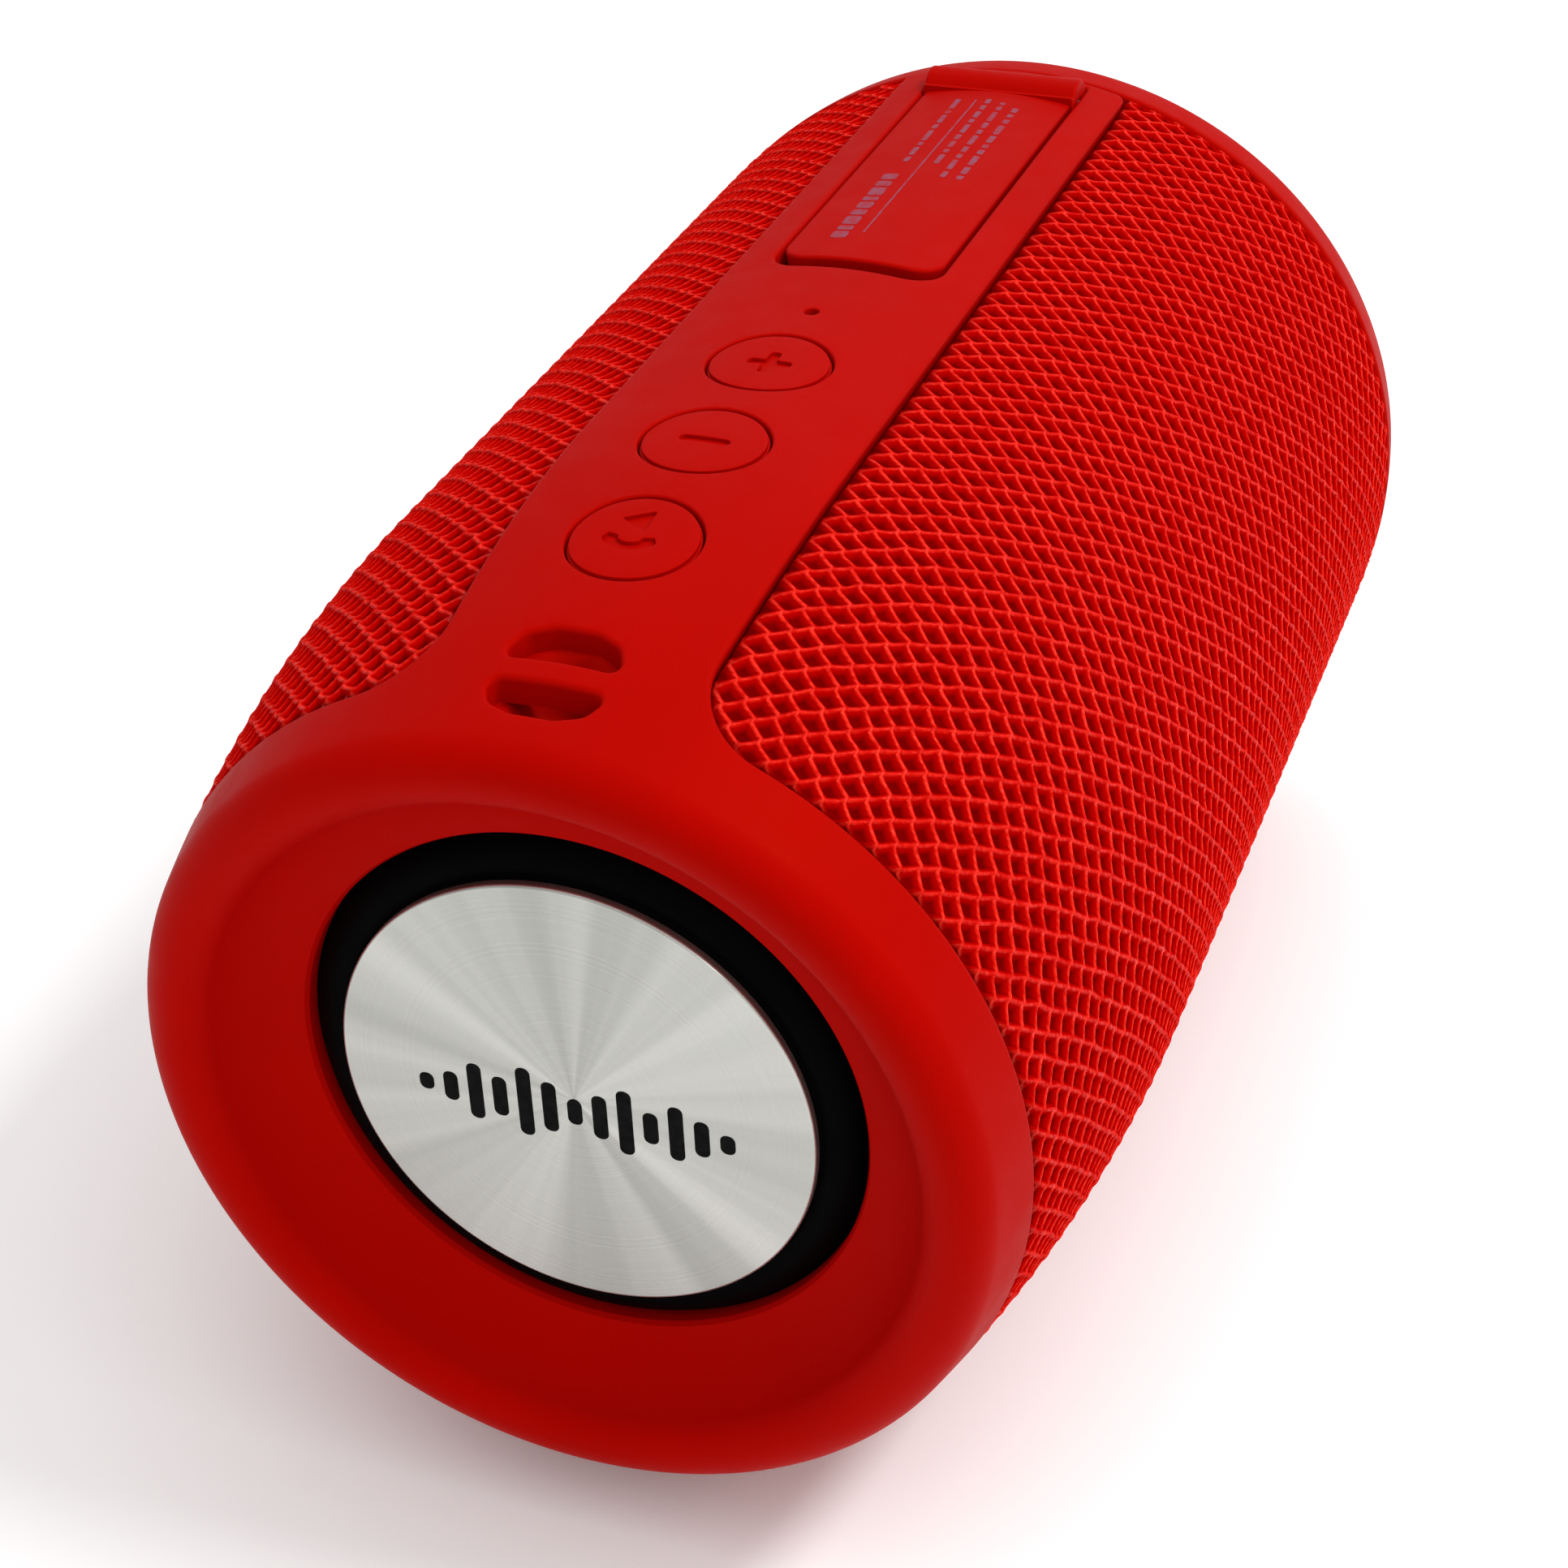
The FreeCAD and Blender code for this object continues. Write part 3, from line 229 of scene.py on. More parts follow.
def tidy_normals(mesh):
    """Turn every face outwards."""
    work = bmesh.new()
    work.from_mesh(mesh)
    bmesh.ops.recalc_face_normals(work, faces=work.faces[:])
    work.to_mesh(mesh)
    work.free()


def arc(start, end, radius, count=10):
    """Points on an arc; a positive radius bulges to the right of the way from start to end."""
    start, end = np.array(start, float), np.array(end, float)
    chord = end - start
    length = np.hypot(*chord)
    rise = math.sqrt(max(radius ** 2 - length ** 2 / 4, 0))
    left = np.array([-chord[1], chord[0]]) / length
    centre = (start + end) / 2 + left * math.copysign(rise, radius)
    first = math.atan2(*(start - centre)[::-1])
    sweep = 2 * math.asin(min(length / 2 / abs(radius), 1)) * math.copysign(1, radius)
    angles = first + np.linspace(0, sweep, count)
    return centre + abs(radius) * np.column_stack([np.cos(angles), np.sin(angles)])


def circle(x, y, radius, count=64):
    """Points round a circle, anticlockwise."""
    angles = np.arange(count) * TURN / count
    return np.column_stack([x + radius * np.cos(angles), y + radius * np.sin(angles)])


def rounded(corners, radii, count=9):
    """A closed outline with rounded corners, anticlockwise."""
    corners = [np.array(corner, float) for corner in corners]
    outline = []
    for index, corner in enumerate(corners):
        before = corners[index - 1] - corner
        after = corners[(index + 1) % len(corners)] - corner
        before, after = before / np.hypot(*before), after / np.hypot(*after)
        half = math.acos(np.clip(before @ after, -1, 1)) / 2
        reach = radii[index] / math.tan(half)
        turn = np.sign(before[0] * after[1] - before[1] * after[0]) * -1
        outline.extend(arc(corner + before * reach, corner + after * reach,
                           radii[index] * turn, count))
    return dense(np.array(outline), LONGEST_SIDE)


def block(start, end, low, high, radii, count=9):
    """A rectangle from start to end and from low to high, with rounded corners."""
    corners = [(start, low), (end, low), (end, high), (start, high)]
    return rounded(corners, np.broadcast_to(radii, 4), count)


def dense(outline, step, closed=True):
    """Points added to an outline so that none of its sides is longer than step."""
    following = np.roll(outline, -1, axis=0)
    result = []
    for index, (start, end) in enumerate(zip(outline, following)):
        if not closed and index == len(outline) - 1:
            result.append(start)
            break
        pieces = max(int(math.ceil(np.hypot(*(end - start)) / step)), 1)
        result.extend(start + (end - start) * k / pieces for k in range(pieces))
    result = np.array(result)
    gaps = np.hypot(*(result - np.roll(result, 1, axis=0)).T)
    return result[gaps > 1e-6] if closed else result


def offset(outline, distance, closed=True):
    """An anticlockwise outline moved outwards by distance."""
    if closed:
        before, after = np.roll(outline, 1, axis=0), np.roll(outline, -1, axis=0)
    else:
        before = np.vstack([outline[:1], outline[:-1]])
        after = np.vstack([outline[1:], outline[-1:]])
    least_cosine = 0.5  # a sharp corner moves at most twice the distance
    normals = []
    for one, two in zip(outline - before, after - outline):
        one = one / np.hypot(*one) if np.hypot(*one) > 1e-9 else two / np.hypot(*two)
        two = two / np.hypot(*two) if np.hypot(*two) > 1e-9 else one
        middle = one + two
        middle = middle / np.hypot(*middle)
        stretch = 1 / max(middle @ one, least_cosine)
        normals.append(np.array([middle[1], -middle[0]]) * stretch)
    return outline + np.array(normals) * distance


def inside(points, outline):
    """Which points are inside a closed outline."""
    x, y = points[:, 0], points[:, 1]
    hit = np.zeros(len(points), bool)
    following = np.roll(outline, -1, axis=0)
    for (x0, y0), (x1, y1) in zip(outline, following):
        if y0 == y1:
            continue
        crosses = (y0 > y) != (y1 > y)
        hit ^= crosses & (x < (x1 - x0) * (y - y0) / (y1 - y0) + x0)
    return hit


def triangles(outer, holes, spacing):
    """Fill an outline with holes: its points, then inner ones on a grid, and the triangles."""
    clear = 0.45 * spacing  # how far the grid keeps from the edges
    loops = [outer, *holes]
    low, high = outer.min(0), outer.max(0)
    across, up = np.meshgrid(np.arange(low[0] + spacing / 2, high[0], spacing),
                             np.arange(low[1] + spacing / 2, high[1], spacing))
    grid = np.column_stack([across.ravel(), up.ravel()])
    grid = grid[inside(grid, outer)]
    for hole in holes:
        grid = grid[~inside(grid, hole)]
    edge_points = np.vstack(loops)
    nearest = np.full(len(grid), np.inf)
    for point in edge_points:
        nearest = np.minimum(nearest, ((grid - point) ** 2).sum(1))
    grid = grid[nearest > clear ** 2]
    points = np.vstack([edge_points, grid])
    edges, start = [], 0
    for loop in loops:
        n = len(loop)
        edges += [(start + i, start + (i + 1) % n) for i in range(n)]
        start += n
    coordinates, _, faces, sources, *_ = geometry.delaunay_2d_cdt(
        [Vector(p) for p in points], edges, [], 0, 1e-7)
    coordinates = np.array([points[source[0]] if source else tuple(place)
                            for place, source in zip(coordinates, sources)])
    faces = np.array([tuple(f) for f in faces])
    middles = coordinates[faces].mean(1)
    keep = inside(middles, outer)
    for hole in holes:
        keep &= ~inside(middles, hole)
    return coordinates, faces[keep]


def rows_between(solid, rows, closed=True):
    """Quads through several rows of points."""
    for first, second in zip(rows, rows[1:]):
        solid.strip(first, second, closed)


def edge_rows(outline, lift, edge, wall, closed=True, sign=1, steps=4):
    """A rounded edge and the wall under it, as rows of lifted points."""
    angles = np.linspace(0, math.pi / 2, steps + 1)
    rows = [lift(offset(outline, -sign * edge * (1 - math.sin(angle)), closed),
                 edge * (1 - math.cos(angle))) for angle in angles]
    rows.append(lift(outline, wall))
    return rows


def plate(solid, outer, holes, lift, top, thickness, edge, spacing=1.6, steps=4, under=True):
    """A closed plate with rounded upper edges, drawn as outlines and lifted onto its surface."""
    def below_top(points, depth):
        return lift(points, top + depth)

    for loop, sign in [(outer, 1)] + [(hole, -1) for hole in holes]:
        rows_between(solid, edge_rows(loop, below_top, edge, thickness, sign=sign, steps=steps))
    flat, faces = triangles(offset(outer, -edge), [offset(hole, edge) for hole in holes], spacing)
    solid.add(lift(flat, top), faces)
    if under:
        flat, faces = triangles(outer, holes, spacing * 2)
        solid.add(lift(flat, top + thickness), faces)


def lathe(solid, profile, segments, closed=True):
    """A profile of (x, radius) points turned about the drum's axis."""
    profile = np.asarray(profile, float)
    angles = np.arange(segments) * TURN / segments
    rows = [np.column_stack([np.full(segments, x), r * np.sin(angles), r * np.cos(angles)])
            for x, r in profile]
    if closed:
        rows.append(rows[0])
    rows_between(solid, rows)


def arc_join(*runs):
    """Runs of points put end to end, with repeated ends left out."""
    joined = [np.atleast_2d(np.asarray(runs[0], float))]
    for run in runs[1:]:
        run = np.atleast_2d(np.asarray(run, float))
        if np.allclose(run[0], joined[-1][-1]):
            run = run[1:]
        joined.append(run)
    return np.vstack(joined)


# ---- near cap and control strip --------------------------------------

STRIP_HALF = 11.46  # half the strip's width, along the arc
WALL = 2.2  # thickness of the moulding
CORNER = 6.6  # round between the strip and the near cap
END_CORNER = 1  # round at the strip's far corners
EDGE = 0.5  # softness of the edges that lie on the knit
BUTTON_HOLE, BUTTON_HOLE_EDGE = 5.3, 0.22
MIC_HOLE, MIC_EDGE = 0.65, 0.15
BAY_START, BAY_END, BAY_HALF = 71.75, 120.75, 7.75
BAY_CORNERS, BAY_EDGE = [3, 0.3, 0.3, 3], 0.4
POCKET_X, POCKET_RADIUS, POCKET_FLOOR = 8.7, 4.2, 31.2
POCKET_THICKNESS = 0.9
BOWL_FLAT, BOWL_REACH = 0.25, 1.35  # its floor and its whole size, in pocket radii
BOWL_OVERLAP = 0.3  # how far its rim goes into the moulding
SLOT_EDGE = 0.45
SLOTS = [  # the two openings beside the lanyard bar
    ([(7.6, -4.8), (7.6, 4.8), (5.3, 3.7), (4.45, 1.7), (4.45, -1.7), (5.3, -3.7)],
     [0.8, 0.8, 1.5, 2.2, 2.2, 1.5]),
    ([(9.75, -4.8), (12.1, -3.7), (12.95, -1.7), (12.95, 1.7), (12.1, 3.7), (9.75, 4.8)],
     [0.8, 1.5, 2.2, 2.2, 1.5, 0.8]),
]
LIP = {"near": 3.1, "far": 3.3}  # round from the outline to the face
FACE_ROUND = {"near": 3.0, "far": 7.4}  # round from the face to the dish's edge
DISH_EDGE_DEPTH, DISH_EDGE = 2.0, {"near": 29.1, "far": 31.0}
DISH_ROUND = {"near": 9.0, "far": 16.0}  # hollow of the dish
DISH_DEPTH, DISH_RADIUS = 6.6, 23.6  # where the dish ends
BORE_DEPTH, BORE_RADIUS = 7.0, 23.35  # the hole for the rubber
CAP_BACK = 8.4
NEAR_CORE_DEPTH, NEAR_CORE_RADIUS, FAR_CORE_RADIUS = 3.0, 30.2, 33.5
buttons = {name: centre_of(f"button_{name}")[0] for name in ("play", "minus", "plus")}
MIC_X = centre_of("microphone")[0]


def face_profile(end, taper, face_steps):
    """From the end of the outline over the lip and down the dish to the bore."""
    (lip_x, lip_radius), lip_middle = taper.lip(LIP[end])
    dish_edge = (DISH_EDGE_DEPTH, DISH_EDGE[end])
    return arc_join(
        arc((lip_x, lip_radius), (0, lip_middle), LIP[end], 16),
        arc((0, lip_middle), dish_edge, FACE_ROUND[end], face_steps),
        arc(dish_edge, (DISH_DEPTH, DISH_RADIUS), -DISH_ROUND[end], 16),
        [(BORE_DEPTH, BORE_RADIUS)])


def strip_holes():
    """The openings of the strip, unrolled, each with the softness of its edge."""
    holes = [(circle(x, 0, BUTTON_HOLE), BUTTON_HOLE_EDGE) for x in buttons.values()]
    holes.append((circle(MIC_X, 0, MIC_HOLE, 20), MIC_EDGE))
    holes.append((block(BAY_START, BAY_END, -BAY_HALF, BAY_HALF, BAY_CORNERS), BAY_EDGE))
    holes += [(rounded(corners, radii), SLOT_EDGE) for corners, radii in SLOTS]
    return [(unrolled(hole), edge) for hole, edge in holes]


def pocket_bowl(points, depth):
    """Points seen from above to the lanyard pocket: a bowl that ends inside the moulding."""
    reach = np.hypot(points[:, 0] - POCKET_X, points[:, 1]) / POCKET_RADIUS
    share = np.clip((reach - BOWL_FLAT) / (1 - BOWL_FLAT), 0, 1)
    share = share * share * (3 - 2 * share)
    rim_radius = moulding_radius(points[:, 0]) - WALL + BOWL_OVERLAP
    rim = np.sqrt(rim_radius ** 2 - points[:, 1] ** 2)
    height = POCKET_FLOOR * (1 - share) + rim * share
    return np.column_stack([points, height - depth])


def near_cap_with_strip():
    """One moulding: the cap's band and lip, its dish, and the strip with all its openings."""
    solid = Solid()
    seam = math.pi * RADIUS
    (lip_x, lip_radius), _ = near_taper.lip(LIP["near"])
    turn_x, turn_s = NEAR_EDGE + CORNER, STRIP_HALF + CORNER
    end_x, end_s = STRIP_END - END_CORNER, STRIP_HALF - END_CORNER
    right = dense(arc_join(
        [(NEAR_EDGE, -seam), (NEAR_EDGE, -turn_s)],
        arc((NEAR_EDGE, -turn_s), (turn_x, -STRIP_HALF), -CORNER, 14),
        [(end_x, -STRIP_HALF)],
        arc((end_x, -STRIP_HALF), (STRIP_END, -end_s), END_CORNER, 6),
        [(STRIP_END, 0)]), LONGEST_SIDE, closed=False)
    free = np.vstack([right, (right * [1, -1])[::-1][1:]])
    lip_line = np.column_stack([np.full(SEGMENTS + 1, lip_x),
                                np.linspace(seam, -seam, SEGMENTS + 1)])

    def outline(edge):
        inner = offset(free, -edge, closed=False)
        seam_x = np.linspace(inner[0, 0], lip_x, 5)[1:-1]
        upper = np.column_stack([seam_x, np.full(3, seam)])
        lower = np.column_stack([seam_x[::-1], np.full(3, -seam)])
        return np.vstack([inner, upper, lip_line, lower])

    rows_between(solid, edge_rows(free, on_drum, EDGE, WALL, closed=False), closed=False)
    holes = strip_holes()
    for hole, edge in holes:
        rows_between(solid, edge_rows(hole, on_drum, edge, WALL, sign=-1))
    skin, faces = triangles(outline(EDGE), [offset(hole, edge) for hole, edge in holes], 1.6)
    solid.add(on_drum(skin, 0), faces)
    under, faces = triangles(outline(0), [hole for hole, _ in holes], 3)
    solid.add(on_drum(under, WALL), faces)
    lathe(solid, arc_join(
        face_profile("near", near_taper, 10),
        [(CAP_BACK, BORE_RADIUS), (CAP_BACK, NEAR_CORE_RADIUS),
         (NEAR_CORE_DEPTH, NEAR_CORE_RADIUS), (lip_x, lip_radius - WALL)]),
        SEGMENTS, closed=False)
    bowl = circle(POCKET_X, 0, POCKET_RADIUS * BOWL_REACH)
    plate(solid, bowl, [], pocket_bowl, 0, POCKET_THICKNESS, 0.05, spacing=0.7)
    return solid.build("end_cap_and_strip")


def far_cap():
    """The cap at the full end, seen from outside as a band, a lip and a dish."""
    (lip_x, _), _ = far_taper.lip(LIP["far"])
    soft = 0.4  # size of the band's rounded edge
    edge_x = LENGTH - FAR_EDGE
    edge_radius = float(far_taper.radius(edge_x))
    band_start = (edge_x - soft, float(far_taper.radius(edge_x - soft)))
    across = np.linspace(edge_x - soft, lip_x, 8)
    profile = arc_join(
        [(CAP_BACK, BORE_RADIUS), (CAP_BACK, FAR_CORE_RADIUS), (edge_x, FAR_CORE_RADIUS)],
        arc((edge_x, edge_radius - soft), band_start, 0.45, 5),
        np.column_stack([across, far_taper.radius(across)]),
        face_profile("far", far_taper, 8))
    solid = Solid()
    lathe(solid, from_end(profile, "far"), SEGMENTS)
    return solid.build("end_cap_far")


# ---- buttons ---------------------------------------------------------

BUTTON_RADIUS, BUTTON_TOP = 4.95, 0.07
CAP_THICKNESS, CAP_EDGE = 1.0, 0.06
ICON_DEPTH = 0.32
BUTTON_LAYERS = [  # radius, depth of the top, thickness, rounded edge, points round, spacing
    (BUTTON_RADIUS - 0.15, BUTTON_TOP + ICON_DEPTH, 2.4, 0.1, 72, 0.9),  # floor of the sign
    (BUTTON_HOLE - 0.14, 0.4, 1.2, 0.1, 72, 1.4),  # skirt in the hole
    (5.9, 3.1, 0.8, 0.15, 64, 1.4),  # flange
    (1.6, 3.5, 1.8, 0.1, 32, 1.0),  # stem
]


def anticlockwise(outline):
    """The outline, turned round if it runs clockwise."""
    following = np.roll(outline, -1, axis=0)
    area = (outline[:, 0] * following[:, 1] - following[:, 0] * outline[:, 1]).sum()
    return outline if area > 0 else outline[::-1]


def cross(arm, half):
    """A plus sign, anticlockwise."""
    return [(half, half), (half, arm), (-half, arm), (-half, half), (-arm, half), (-arm, -half),
            (-half, -half), (-half, -arm), (half, -arm), (half, -half), (arm, -half), (arm, half)]


def icons(name, x):
    """The sunken signs of one button, in unrolled coordinates."""
    if name == "plus":
        signs = [rounded(cross(1.9, 0.48), [0.08, 0.35, 0.35] * 4, 4)]
    elif name == "minus":
        signs = [block(-0.46, 0.46, -2.1, 2.1, 0.4, 5)]
    else:
        triangle = rounded([(0.75, -0.5), (3.45, -0.5), (2.1, 1.85)], [0.12] * 3, 4)
        handset = arc_join(
            arc((-0.9, -1.6), (-0.9, 2.2), -2.9, 17),
            [(-0.4, 2.5), (0.2, 2.15), (0.0, 1.3)],
            arc((-0.45, 1.15), (-0.45, -0.55), 1.4, 9),
            [(0.0, -0.7), (0.2, -1.55), (-0.4, -1.9)])
        signs = [triangle, dense(handset, 0.5)]
    return [unrolled(anticlockwise(sign) + [x, 0]) for sign in signs]


def button(name):
    """A push button: its cap with a sunken sign, and the layers under it."""
    x = buttons[name]
    solid = Solid()
    face = unrolled(circle(x, 0, BUTTON_RADIUS, 72))
    plate(solid, face, icons(name, x), on_drum, BUTTON_TOP, CAP_THICKNESS, CAP_EDGE, spacing=0.9)
    for radius, top, thickness, edge, count, spacing in BUTTON_LAYERS:
        layer = unrolled(circle(x, 0, radius, count))
        plate(solid, layer, [], on_drum, top, thickness, edge, spacing)
    return solid.build(f"{name}_button")


# ---- flap over the ports ---------------------------------------------

FLAP_START, FLAP_END, FLAP_HALF = 73.75, 115.9, 7.4
FLAP_CORNERS = [2.6, 0.3, 0.3, 2.6]
FLAP_TOP, FLAP_THICKNESS, FLAP_EDGE = 0.06, 1.5, 0.35
RIB_SIDES = [(75.4, 114.6, 6.3), (76.1, 113.9, 5.6)]  # start, end, half width; outer and inner
RIB_TOP, RIB_HEIGHT = 1.4, 1.4
HINGE_X, HINGE_Z, PIN_HOLE = 118.1, 38.9, 0.55
KNUCKLE, KNUCKLE_HALF, KNUCKLE_EDGE = 2.5, 7.65, 0.3
KNUCKLE_START, KNUCKLE_TURN = 187, 315.5  # degrees, from the flap's underside round
KNUCKLE_LAP, WEB_DROP = 0.3, 0.3  # how far its web goes into the flap, and below the pin
INK_RAISE, INK_THICKNESS = 0.03, 0.06
INK_ROWS = [  # start, end, middle and half height of a row, its widths in turn, their gap
    (78.0, 93.6, 3.25, 0.72, (1.5, 0.9, 1.9, 1.2), 0.35),
    (79.5, 113.0, 1.3, 0.09, (33.0,), 0.0),
    (96.5, 113.0, 3.05, 0.26, (1.1, 2.0, 0.8, 2.6), 0.5),
    (96.5, 113.5, 0.1, 0.26, (2.2, 0.9, 1.6, 1.2), 0.5),
    (93.5, 113.0, -1.45, 0.26, (1.4, 2.4, 1.0), 0.5),
    (93.5, 112.0, -3.0, 0.3, (0.9, 1.7, 2.3, 1.1), 0.5),
]
LEAST_INK = 0.4


def port_flap():
    """The curved cover with its sealing rib and hinge knuckle."""
    solid = Solid()
    cover = unrolled(block(FLAP_START, FLAP_END, -FLAP_HALF, FLAP_HALF, FLAP_CORNERS))
    plate(solid, cover, [], on_drum, FLAP_TOP, FLAP_THICKNESS, FLAP_EDGE)
    outer, inner = (unrolled(block(start, end, -half, half, 1))
                    for start, end, half in RIB_SIDES)
    plate(solid, outer, [inner], on_drum, RIB_TOP, RIB_HEIGHT, 0.1, spacing=2)
    angles = np.radians(np.linspace(KNUCKLE_START, KNUCKLE_START + KNUCKLE_TURN, 40))
    section = np.vstack([
        [(FLAP_END - KNUCKLE_LAP, HINGE_Z - WEB_DROP)],
        np.column_stack([HINGE_X + KNUCKLE * np.cos(angles), HINGE_Z + KNUCKLE * np.sin(angles)]),
        [(FLAP_END - KNUCKLE_LAP, STRIP_TOP - FLAP_TOP)]])
    pin_hole = circle(HINGE_X, HINGE_Z, PIN_HOLE, 20)
    for side in (-1, 1):
        def from_side(points, depth):
            across = np.full(len(points), side * (KNUCKLE_HALF - depth))
            return np.column_stack([points[:, 0], across, points[:, 1]])

        plate(solid, section, [pin_hole], from_side, 0, KNUCKLE_HALF, KNUCKLE_EDGE,
              spacing=1.2, under=False)
    return solid.build("bay_flap")


def flap_print():
    """Plain dashes of faint ink on the flap: rows of blocks that stand for no words."""
    solid = Solid()
    for start, end, middle, half, widths, gap in INK_ROWS:
        along, number = start, 0
        while along < end - LEAST_INK:
            width = min(widths[number % len(widths)], end - along)
            dash = block(along, along + width, middle - half, middle + half,
                         min(half, width / 2) * 0.45, 3)
            plate(solid, dash, [], on_drum, FLAP_TOP - INK_RAISE, INK_THICKNESS, 0.01,
                  spacing=1.2, steps=1)
            along += width + gap
            number += 1
    return solid.build("flap_ink")


# ---- knitted sleeve --------------------------------------------------

STITCH_X = 2.63  # one diamond of the knit along the drum
STITCHES_ROUND = 95
STITCH_S = TURN * RADIUS / STITCHES_ROUND
NEAR_GAP, FAR_GAP, STRIP_GAP = 0.12, 0.1, 0.06  # between the knit and the mouldings
SLEEVE = (NEAR_EDGE + NEAR_GAP, FAR_EDGE - FAR_GAP,
          STRIP_HALF + STRIP_GAP, TURN * RADIUS - STRIP_HALF - STRIP_GAP)
NEAR_CORNER, FAR_CORNER = 6.1, 0.6
CREST, FOOT = 0.13, 0.3  # half widths of a strand at its crest and foot
SHOULDER = 0.8  # its height at the side of the crest
DIP = 0.16  # how far it bends over and under another
HOLE_DEPTH, HOLE_SPREAD = 0.6, 0.07
WOBBLE, STAGGER, KNIT_SEED = 0.045, 0.1, 7  # unevenness of the lattice
LEAST_STITCH = 0.12  # quads that reach in less than this are left out
END_ROLL, ROLL_GROWTH, GROWTH_LENGTH = 0.5, 0.8, 8  # rolled edge: at the ends, further in
ROLL_DEPTH = 0.85  # of the roll's size
UNDER_EDGE, UNDER_MIDDLE = 1.7, 0.95  # depth of the knit's back


def sleeve_distance(points):
    """How far unrolled points are inside the sleeve's outline; its near corners are rounded."""
    start, end, first, last = SLEEVE
    corner = np.where(points[:, 0] < (start + end) / 2, NEAR_CORNER, FAR_CORNER)
    x = np.abs(points[:, 0] - (start + end) / 2) - (end - start) / 2 + corner
    s = np.abs(points[:, 1] - (first + last) / 2) - (last - first) / 2 + corner
    outside = np.hypot(np.maximum(x, 0), np.maximum(s, 0))
    return corner - outside - np.minimum(np.maximum(x, s), 0)


def onto_outline(points):
    """Points moved square to the sleeve's outline until they are on it."""
    step = 1e-3
    for _ in range(3):
        gap = sleeve_distance(points)[:, None]
        slope = np.column_stack([
            sleeve_distance(points + [step, 0]) - sleeve_distance(points - [step, 0]),
            sleeve_distance(points + [0, step]) - sleeve_distance(points - [0, step])]) / step / 2
        points = points - slope * gap / np.maximum((slope ** 2).sum(1), 0.5)[:, None]
    return points


def knit_depth(u, v):
    """How deep the knit lies at a place in its lattice: strands cross over and under."""
    gaps = [np.abs(place - np.round(place)) for place in (u, v)]
    strand = [np.interp(gap, [0, CREST, FOOT, 0.5], [1, SHOULDER, 0, 0]) for gap in gaps]
    over = np.cos(math.pi * (np.round(u) + np.round(v)))
    height = np.maximum(strand[0] * (1 - DIP + DIP * over * strand[1]),
                        strand[1] * (1 - DIP - DIP * over * strand[0]))
    parity = np.cos(math.pi * (np.floor(u) + np.floor(v)))
    return (1 - height) * (HOLE_DEPTH + HOLE_SPREAD * parity)


def knit_lattice():
    """A lattice wider than the sleeve: its u and v, its unrolled points, and its quads."""
    start, end, first, last = SLEEVE
    low = int(min(start / STITCH_X - last / STITCH_S, start / STITCH_X + first / STITCH_S)) - 2
    high = int(end / STITCH_X + last / STITCH_S) + 2
    parts = np.array([0, CREST, FOOT, 1 - FOOT, 1 - CREST])
    lines = (np.arange(low, high)[:, None] + parts).ravel()
    u, v = np.meshgrid(lines, lines, indexing="ij")
    size = (2, high - low + 1, high - low + 1)
    wobble = np.random.default_rng(KNIT_SEED).uniform(-WOBBLE, WOBBLE, size)
    stagger = np.interp(u - np.floor(u), [0, CREST, 1 - CREST, 1], [0, STAGGER, -STAGGER, 0])
    row, column = (np.round(place).astype(int) - low for place in (u, v))
    u_there = u + wobble[0][row, column]
    v_there = v + stagger + wobble[1][row, column]
    flat = np.column_stack([(u_there + v_there).ravel() * STITCH_X / 2,
                            (u_there - v_there).ravel() * STITCH_S / 2])
    n = len(lines)
    corner = (np.arange(n - 1)[:, None] * n + np.arange(n - 1)).ravel()
    quads = np.column_stack([corner, corner + n, corner + n + 1, corner + 1])
    return u.ravel(), v.ravel(), flat, quads


def trimmed_lattice():
    """The lattice inside the sleeve, with its border moved onto the sleeve's outline."""
    u, v, flat, quads = knit_lattice()
    gap = sleeve_distance(flat)
    quads = quads[(gap[quads] > LEAST_STITCH).any(1)]
    used, quads = np.unique(quads, return_inverse=True)
    quads = quads.reshape(-1, 4)
    u, v, flat, gap = u[used], v[used], flat[used], gap[used]
    border = (np.bincount(quads.ravel()) < 4) | (gap < 0)
    flat[border] = onto_outline(flat[border])
    u[border] = flat[border, 0] / STITCH_X + flat[border, 1] / STITCH_S
    v[border] = flat[border, 0] / STITCH_X - flat[border, 1] / STITCH_S
    return u, v, flat, quads


def knit_sleeve():
    """The knit stretched round the drum, as a lattice of strands over shallow holes."""
    start, end, _, _ = SLEEVE
    u, v, flat, quads = trimmed_lattice()
    gap = np.maximum(sleeve_distance(flat), 0)
    to_end = np.minimum(flat[:, 0] - start, end - flat[:, 0])
    roll = END_ROLL + ROLL_GROWTH * np.clip(to_end / GROWTH_LENGTH, 0, 1)
    tuck = 1 - np.clip(gap / roll, 0, 1)
    depth = knit_depth(u, v) * (1 - tuck) + roll * ROLL_DEPTH * (1 - np.sqrt(1 - tuck ** 2))
    outer = on_drum(flat, depth, knit_radius)
    rim = border_loop(quads)
    under, faces = triangles(flat[rim], [], 4.0)
    under_depth = np.where(sleeve_distance(under) < 1.0, UNDER_EDGE, UNDER_MIDDLE)
    solid = Solid()
    solid.add(outer, quads)
    solid.strip(outer[rim], on_drum(flat[rim], UNDER_EDGE, knit_radius))
    solid.add(on_drum(under, under_depth, knit_radius), faces)
    piece = solid.build("knit_sleeve", sharp=80)
    skin = solid.index[:len(flat)]
    keep_values(piece, "stitch_u", u, skin)
    keep_values(piece, "stitch_v", v, skin)
    keep_values(piece, "tuck", tuck, skin, 1.0)
    return piece


